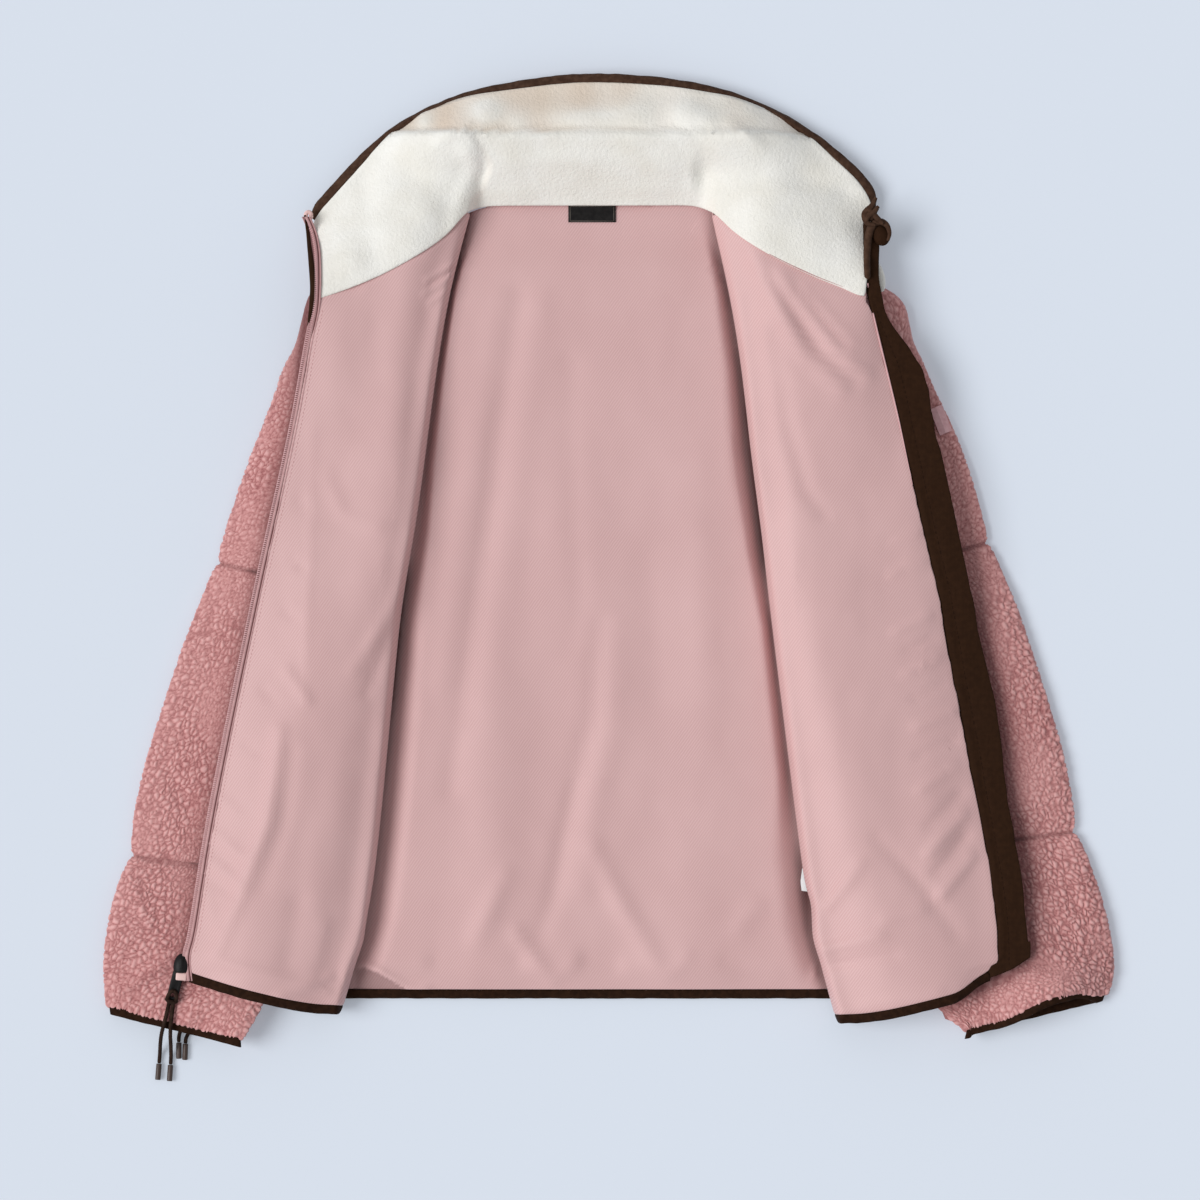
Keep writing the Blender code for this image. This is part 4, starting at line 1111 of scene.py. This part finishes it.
def flapDraw(spot):
    # the flap narrows and rises into its loop at the collar; seamed a third of the way over
    left, right = between(flapInside, spot.y) - 1.6, between(flapEdge, spot.y)
    solidLeft, solidRight = between(flapRows[-1], spot.y), between(flapRows[1], spot.y)
    across = (spot.x - solidLeft) / (solidRight - solidLeft)
    rise = softStep((spot.y - 584) / 16)
    pucker = noise.noise(Vector((2, spot.y / 5.5, 0))) * exp(-((across - flapSeam) / 0.3) ** 2)
    press = -0.5 * exp(-((across - flapSeam) / 0.07) ** 2) * (spot.y < 560)
    wave = 0.9 * noise.noise(Vector((spot.x / 14, spot.y / 30, 6)))
    slide = left + (right - left) * across - spot.x
    corner = 19 * softStep((52 - spot.y) / 28) * across
    press -= 2.2 * softStep((0.14 - across) / 0.12)
    slide -= 8 * softStep((36 - spot.y) / 12) * softStep((0.6 - across) / 0.6)
    return Vector((slide, 20 * rise + corner, press + 0.5 * pucker + wave + 3.0 * rise))


# stiffness at the rims, ripple, edge length, and how it is drawn into place
stripPiece("collarBinding", "collar_binding", collarBrown, 0.5, 0.6, 5, bindingDraw)
stripPiece("hemBindingBack", "hem_binding_back", brownBinding, 0.5, 0.35)
stripPiece("hemBindingRight", "hem_binding_right", brownBinding, 0.5, 0.35, 3, hemDraw)
stripPiece("hemBindingLeft", "hem_binding_left", brownBinding, 0.5, 0.35, 3, hemDraw)
stripPiece("cuffBindingRight", "cuff_binding_right", brownBinding, 0.5, 0.4)
stripPiece("cuffBindingLeft", "cuff_binding_left", brownBinding, 0.5, 0.4, 4,
           lambda spot: cuffCorner(spot) - sleeveWays[1] * mouthPull(spot))
stripPiece("windFlap", "wind_flap", brownFlap, 0.9, 0.0, 3, flapDraw)
print("bindings made")


# ---- zip tapes, teeth and stitches

upperCloth = ("frontRightLining", "frontLeftLining", "collarLining")
cover = {name: surfaceOf(name) for name in (*upperCloth, "windFlap")}


def coverTop(x, y, missing=30):
    # the height of the linings' cloth
    found = [topOf(cover[name], x, y) for name in upperCloth]
    found = [z for z in found if z is not None]
    return max(found) if found else missing


# y, and how far the tape stands over the cloth; how far aside its coil runs; how high
tapeOver = [(540, -0.3), (564, 1.3), (626, 1.6)]
coilAside = [(30, -4.2), (500, -4.2), (560, -2.6), (630, -2.4)]
coilUp = [(500, 0.5), (560, 1.0)]


def tapeTop(y):
    return coverTop(between(zipLine, y) + 2.2, max(y, 22)) + between(tapeOver, y)


zipTop = smoothRows([(y, tapeTop(y)) for y in range(16, 630, 12)], 300)


def ribbon(name, low, high, count, across, finish, node=None):
    # a band along the zip: each row of across is an offset from its line, a height and a painted shade
    bm = bmesh.new()
    bmesh.ops.create_grid(bm, x_segments=len(across) - 1, y_segments=count, size=0.5)
    shade = bm.verts.layers.float.new("shade")
    for vert in bm.verts:
        offset, rise, dark = across[round((vert.co.x + 0.5) * (len(across) - 1))].values()
        y = low + (high - low) * (vert.co.y + 0.5)
        # the painted shade under the coil's teeth is weaker low down
        if -4.9 < offset < -2:
            dark *= between([(200, 0.3), (300, 1)], y)
        vert[shade] = dark
        vert.co = place(between(zipLine, y) + offset, y, between(zipTop, y) + rise)
    bmesh.ops.solidify(bm, geom=bm.faces[:], thickness=0.9 * mm)
    bmesh.ops.recalc_face_normals(bm, faces=bm.faces[:])
    return finished(name, bm, finish, "jacket", node)


# painted shade in the groove beside the coil, under the coil's teeth and at the tape's edges
tapeAcross = table(
    "offset rise dark",
    (-5.6, -0.3, 0.25), (-5.2, 0.2, 0.1), (-4.6, 0.1, 0.75), (-3.2, 0.1, 0.6), (-2.9, 0.5, 0.0),
    (-1.2, 0.6, 0.0), (-0.7, 0.0, 0.9), (0.1, -0.1, 0.9), (0.4, 0.5, 0.05), (1.1, 0.5, 0.0),
    (1.5, -0.2, 0.15))
ribbon("zipTapeRight", 16, 626, 150, tapeAcross, pinkTape, "zip_tape_right")


def tapeDraw(spot):
    # the left tape lies hidden under the flap
    return Vector((-9.0 * softStep((spot.y - 20) / 40), 32 * softStep((72 - spot.y) / 56), -2.0))


stripPiece("zipTapeLeft", "zip_tape_left", pinkTape, 0.9, 0.0, 6, tapeDraw)


coilLook = {"low": 40.0, "high": 618, "pitch": 1.65, "tooth": (2.7, 0.85, 0.9), "lean": 0.3, "round": 0.28}


def zipCoil():
    bm, y = bmesh.new(), coilLook["low"]
    while y < coilLook["high"]:
        x, ahead = between(zipLine, y), between(zipLine, y + 6)
        turn = Matrix.Rotation(atan2(6, ahead - x) - pi / 2 + coilLook["lean"], 3, "Z")
        middle = (x + between(coilAside, y), y, between(zipTop, y) + between(coilUp, y))
        addBlock(bm, middle, coilLook["tooth"], turn, coilLook["round"])
        y += coilLook["pitch"]
    finished("zipCoil", bm, pinkCoil, "jacket", None)


def stitchRow(name, places, finish, size=(1.7, 0.5, 0.35)):
    bm = bmesh.new()
    for (x, y, z), ahead in zip(places, places[1:]):
        addBlock(bm, (x, y, z), size, Matrix.Rotation(atan2(ahead[1] - y, ahead[0] - x), 3, "Z"), 0.12)
    finished(name, bm, finish, "jacket", None)


zipCoil()
places = [(between(zipLine, y) + 3.9, y) for y in range(40, 556, 3)]
stitchRow("zipTopstitch", [(x, y, coverTop(x, y) + 0.02) for x, y in places], pinkThread,
          (1.6, 0.45, 0.3))
places = []
for y in range(30, 560, 4):
    left, right = between(flapInside, y), between(flapEdge, y)
    x = left + flapSeam * (right - left)
    places.append((x, y, topOf(cover["windFlap"], x, y, 30) + 0.02))
stitchRow("flapTopstitch", places, brownBinding, (2.4, 0.6, 0.4))


def tubeOver(name, route, radius, finish, lift, radii=None, count=40, heights=None):
    # a thin roll of cloth laid over what is below it
    points = []
    for k, point in enumerate(smoothRoute([(x, y, 0) for x, y in route], count)):
        z = between(heights, point.y) if heights else coverTop(point.x, point.y)
        points.append(Vector((point.x, point.y, z + lift)))
    return tube(name, points, radius, finish, "jacket", radii)


flapLine = [(between(flapInside, y) + 0.2, y) for y in range(572, 396, -16)]
flapLineTop = [(y, coverTop(between(flapInside, y) - 1.0, y) - 0.2) for y in range(396, 580, 8)]
tubeOver("flapPiping", flapLine, 0.75, pinkCoil, 0.0,
         [(0, 0.7), (0.3, 1), (0.7, 0.8), (1, 0.2)], 60, flapLineTop)
neckPipe = [(141, 595.6), (158.4, 586.8), (178.4, 577.8), (200, 569.5)]
tubeOver("neckPiping", neckPipe, 0.5, pinkThread, 0.1, [(0, 0.4), (0.5, 1), (1, 0.2)])
print("zip and stitches made")


# ---- ends of the collar

endTop = between(zipTop, 618)
loopZ = topOf(cover["windFlap"], 222, 596, 38)
brownLip = [(-229.2, 627), (-226.4, 608), (-223.9, 590), (-222.0, 572), (-222.6, 558), (-225, 544),
            (-227, 532)]
lipZ = [(y, between(zipTop, y) - 1.0) for y in range(528, 634, 6)]
tubeOver("placketLip", brownLip, 2.7, brownFlap, 0.0,
         [(0, 0.35), (0.2, 0.7), (0.45, 1), (0.65, 1), (0.85, 0.5), (1, 0.1)], 40, lipZ)
stopLook = {"middle": (-226.8, 627.4), "halfWide": 2.2, "halfTall": 2.9, "up": 1.2}
stopX, stopY = stopLook["middle"]
stopTurns = [k * pi / 8 for k in range(17)]
stopLoop = [Vector((stopX + stopLook["halfWide"] * cos(turn), stopY + stopLook["halfTall"] * sin(turn),
                    endTop + stopLook["up"])) for turn in stopTurns]
tube("zipTopStop", stopLoop, 1.75, palePlastic, "jacket")
twists = table(
    "letter route radius rise",
    ("A", [(226.5, 641), (223, 634), (217.5, 628), (219.5, 621), (226, 619)], 2.6, 3.2),
    ("B", [(228.4, 634), (224.6, 629), (220.4, 626.5), (218, 621)], 2.4, 4.6),
    ("C", [(217.4, 632), (222.5, 629.6), (227.8, 624), (232, 620)], 2.3, 4.0))
for twist in twists:
    points = smoothRoute([(x, y, loopZ + twist["rise"]) for x, y in twist["route"]], 30)
    tube("collarTwist" + twist["letter"], points, twist["radius"], collarBrown, "jacket",
         [(0, 0.5), (0.3, 1), (0.7, 1), (1, 0.5)])


def softBall(name, middle, halves, turn, finish, rings=(16, 10)):
    # a rounded bit of turned cloth
    bm = bmesh.new()
    made = bmesh.ops.create_uvsphere(bm, u_segments=rings[0], v_segments=rings[1], radius=1)["verts"]
    bmesh.ops.scale(bm, vec=Vector(halves) * mm, verts=made)
    bmesh.ops.rotate(bm, matrix=Matrix.Rotation(radians(turn), 3, "Z"), verts=made)
    bmesh.ops.translate(bm, vec=place(*middle), verts=made)
    bm.verts.layers.float.new("shade")
    return finished(name, bm, finish, "jacket", None)


softBall("collarTwistCore", (222, 626.4, loopZ + 0.4), (4.4, 4.4, 4.4), 0, collarBrown)
rolls = [(222.4, 556), (220.2, 570), (219.2, 584), (219.6, 600), (221, 612), (224.4, 619.6), (230.2, 621.8),
         (235.2, 619), (237.4, 612.6), (236, 606.6)]
rollPoints = [Vector((p.x, p.y, max(loopZ + 0.6, coverTop(p.x, p.y, 0) + (1.2 if p.y < 612 else -2))))
              for p in smoothRoute([(x, y, 0) for x, y in rolls], 80)]
tube("flapRoll", rollPoints, 3.0, collarBrown, "jacket",
     [(0, 0.3), (0.15, 0.8), (0.5, 1.1), (0.7, 0.9), (0.85, 0.6), (1, 0.4)])
softBall("collarTurnedEdge", (229.6, 578, loopZ - 9), (4.6, 12.0, 3.0), 12, creamPlush,
         (20, 12))
softBall("flapLoop", (230.4, 611.4, loopZ - 2.6), (7.0, 9.0, 5.0), 24, brownFlap, (24, 14))
print("collar ends made")


# ---- hardware, labels and patch

sliderLook = {"middle": (-327.6, 27.6, 30), "halves": (6.6, 10.2, 4.6), "turn": -3, "cutBack": 5.0,
              "rim": 0.7, "bridge": (3.0, 8.5, 1.2), "bridgeMiddle": (-327.6, 30, 34.2)}


def slider():
    # an egg-shaped body cut square at its mouth, with a low bridge along it
    look, bm = sliderLook, bmesh.new()
    body = bmesh.ops.create_uvsphere(bm, u_segments=28, v_segments=16, radius=1)["verts"]
    bmesh.ops.scale(bm, vec=Vector(look["halves"]) * mm, verts=body)
    everything = bm.verts[:] + bm.edges[:] + bm.faces[:]
    cut = bmesh.ops.bisect_plane(bm, geom=everything, plane_co=(0, -look["cutBack"] * mm, 0),
                                 plane_no=(0, -1, 0), clear_outer=True)
    rim = [item for item in cut["geom_cut"] if isinstance(item, bmesh.types.BMEdge)]
    bmesh.ops.holes_fill(bm, edges=rim)
    bmesh.ops.bevel(bm, geom=rim, offset=look["rim"] * mm, segments=2, affect="EDGES", profile=0.5,
                    material=-1)
    bmesh.ops.rotate(bm, matrix=Matrix.Rotation(radians(look["turn"]), 3, "Z"), verts=bm.verts[:])
    bmesh.ops.translate(bm, vec=place(*look["middle"]), verts=bm.verts[:])
    addBlock(bm, look["bridgeMiddle"], look["bridge"], None, 0.5, 2)
    finished("zipSlider", bm, blackPlastic, "jacket", "zip_slider")


slider()
boxLook = {"middle": (-327.8, 19.4, 31), "size": (8.6, 6.0, 4.6), "turn": -4, "round": 1.0}
bm = bmesh.new()
addBlock(bm, boxLook["middle"], boxLook["size"], Matrix.Rotation(radians(boxLook["turn"]), 3, "Z"),
         boxLook["round"], 3)
finished("zipBox", bm, palePlastic, "jacket", "zip_box")

# the pull tab keeps its form, with its edges rounded
bm = nodeMesh("pull_tab")
edges = [edge for edge in bm.edges if len(edge.link_faces) == 2 and edge.calc_face_angle() > radians(50)]
bmesh.ops.bevel(bm, geom=edges, offset=0.5 * mm, segments=2, affect="EDGES", profile=0.5, material=-1)
finished("pullTab", bm, blackPlastic, "tab", "pull_tab")

for node, finish in (("neck_label", blackWoven), ("sleeve_patch", pinkPatch)):
    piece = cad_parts[node]
    piece.data.materials.clear()
    piece.data.materials.append(finish)

# a woven line round the bare neck label: real stitching, its thread paler than the label as a painted
# highlight
border = {"halfWide": 17.5, "halfTall": 5.9, "thread": 0.5, "up": 0.02}
labelTop = toJacket(labelHigh).z + border["up"]
middle = toJacket((labelLow + labelHigh) / 2)
bm = bmesh.new()
for aside in (-1, 1):
    addBlock(bm, (middle.x, middle.y + aside * border["halfTall"], labelTop), (35.4, border["thread"], 0.2))
    addBlock(bm, (middle.x + aside * border["halfWide"], middle.y, labelTop), (border["thread"], 12.2, 0.2))
finished("labelBorder", bm, stitchHighlightThread, "jacket", None)

careLook = {"place": (174, 95), "under": (169, 93), "size": (13, 18, 0.5), "turn": -7}
careUp = topOf(surfaceOf("backLining"), *careLook["under"], 12) + 0.6
bm = bmesh.new()
addBlock(bm, (*careLook["place"], careUp), careLook["size"],
         Matrix.Rotation(radians(careLook["turn"]), 3, "Z"), 0.15)
finished("careLabel", bm, whiteSatin, "jacket", "care_label")
print("hardware made")
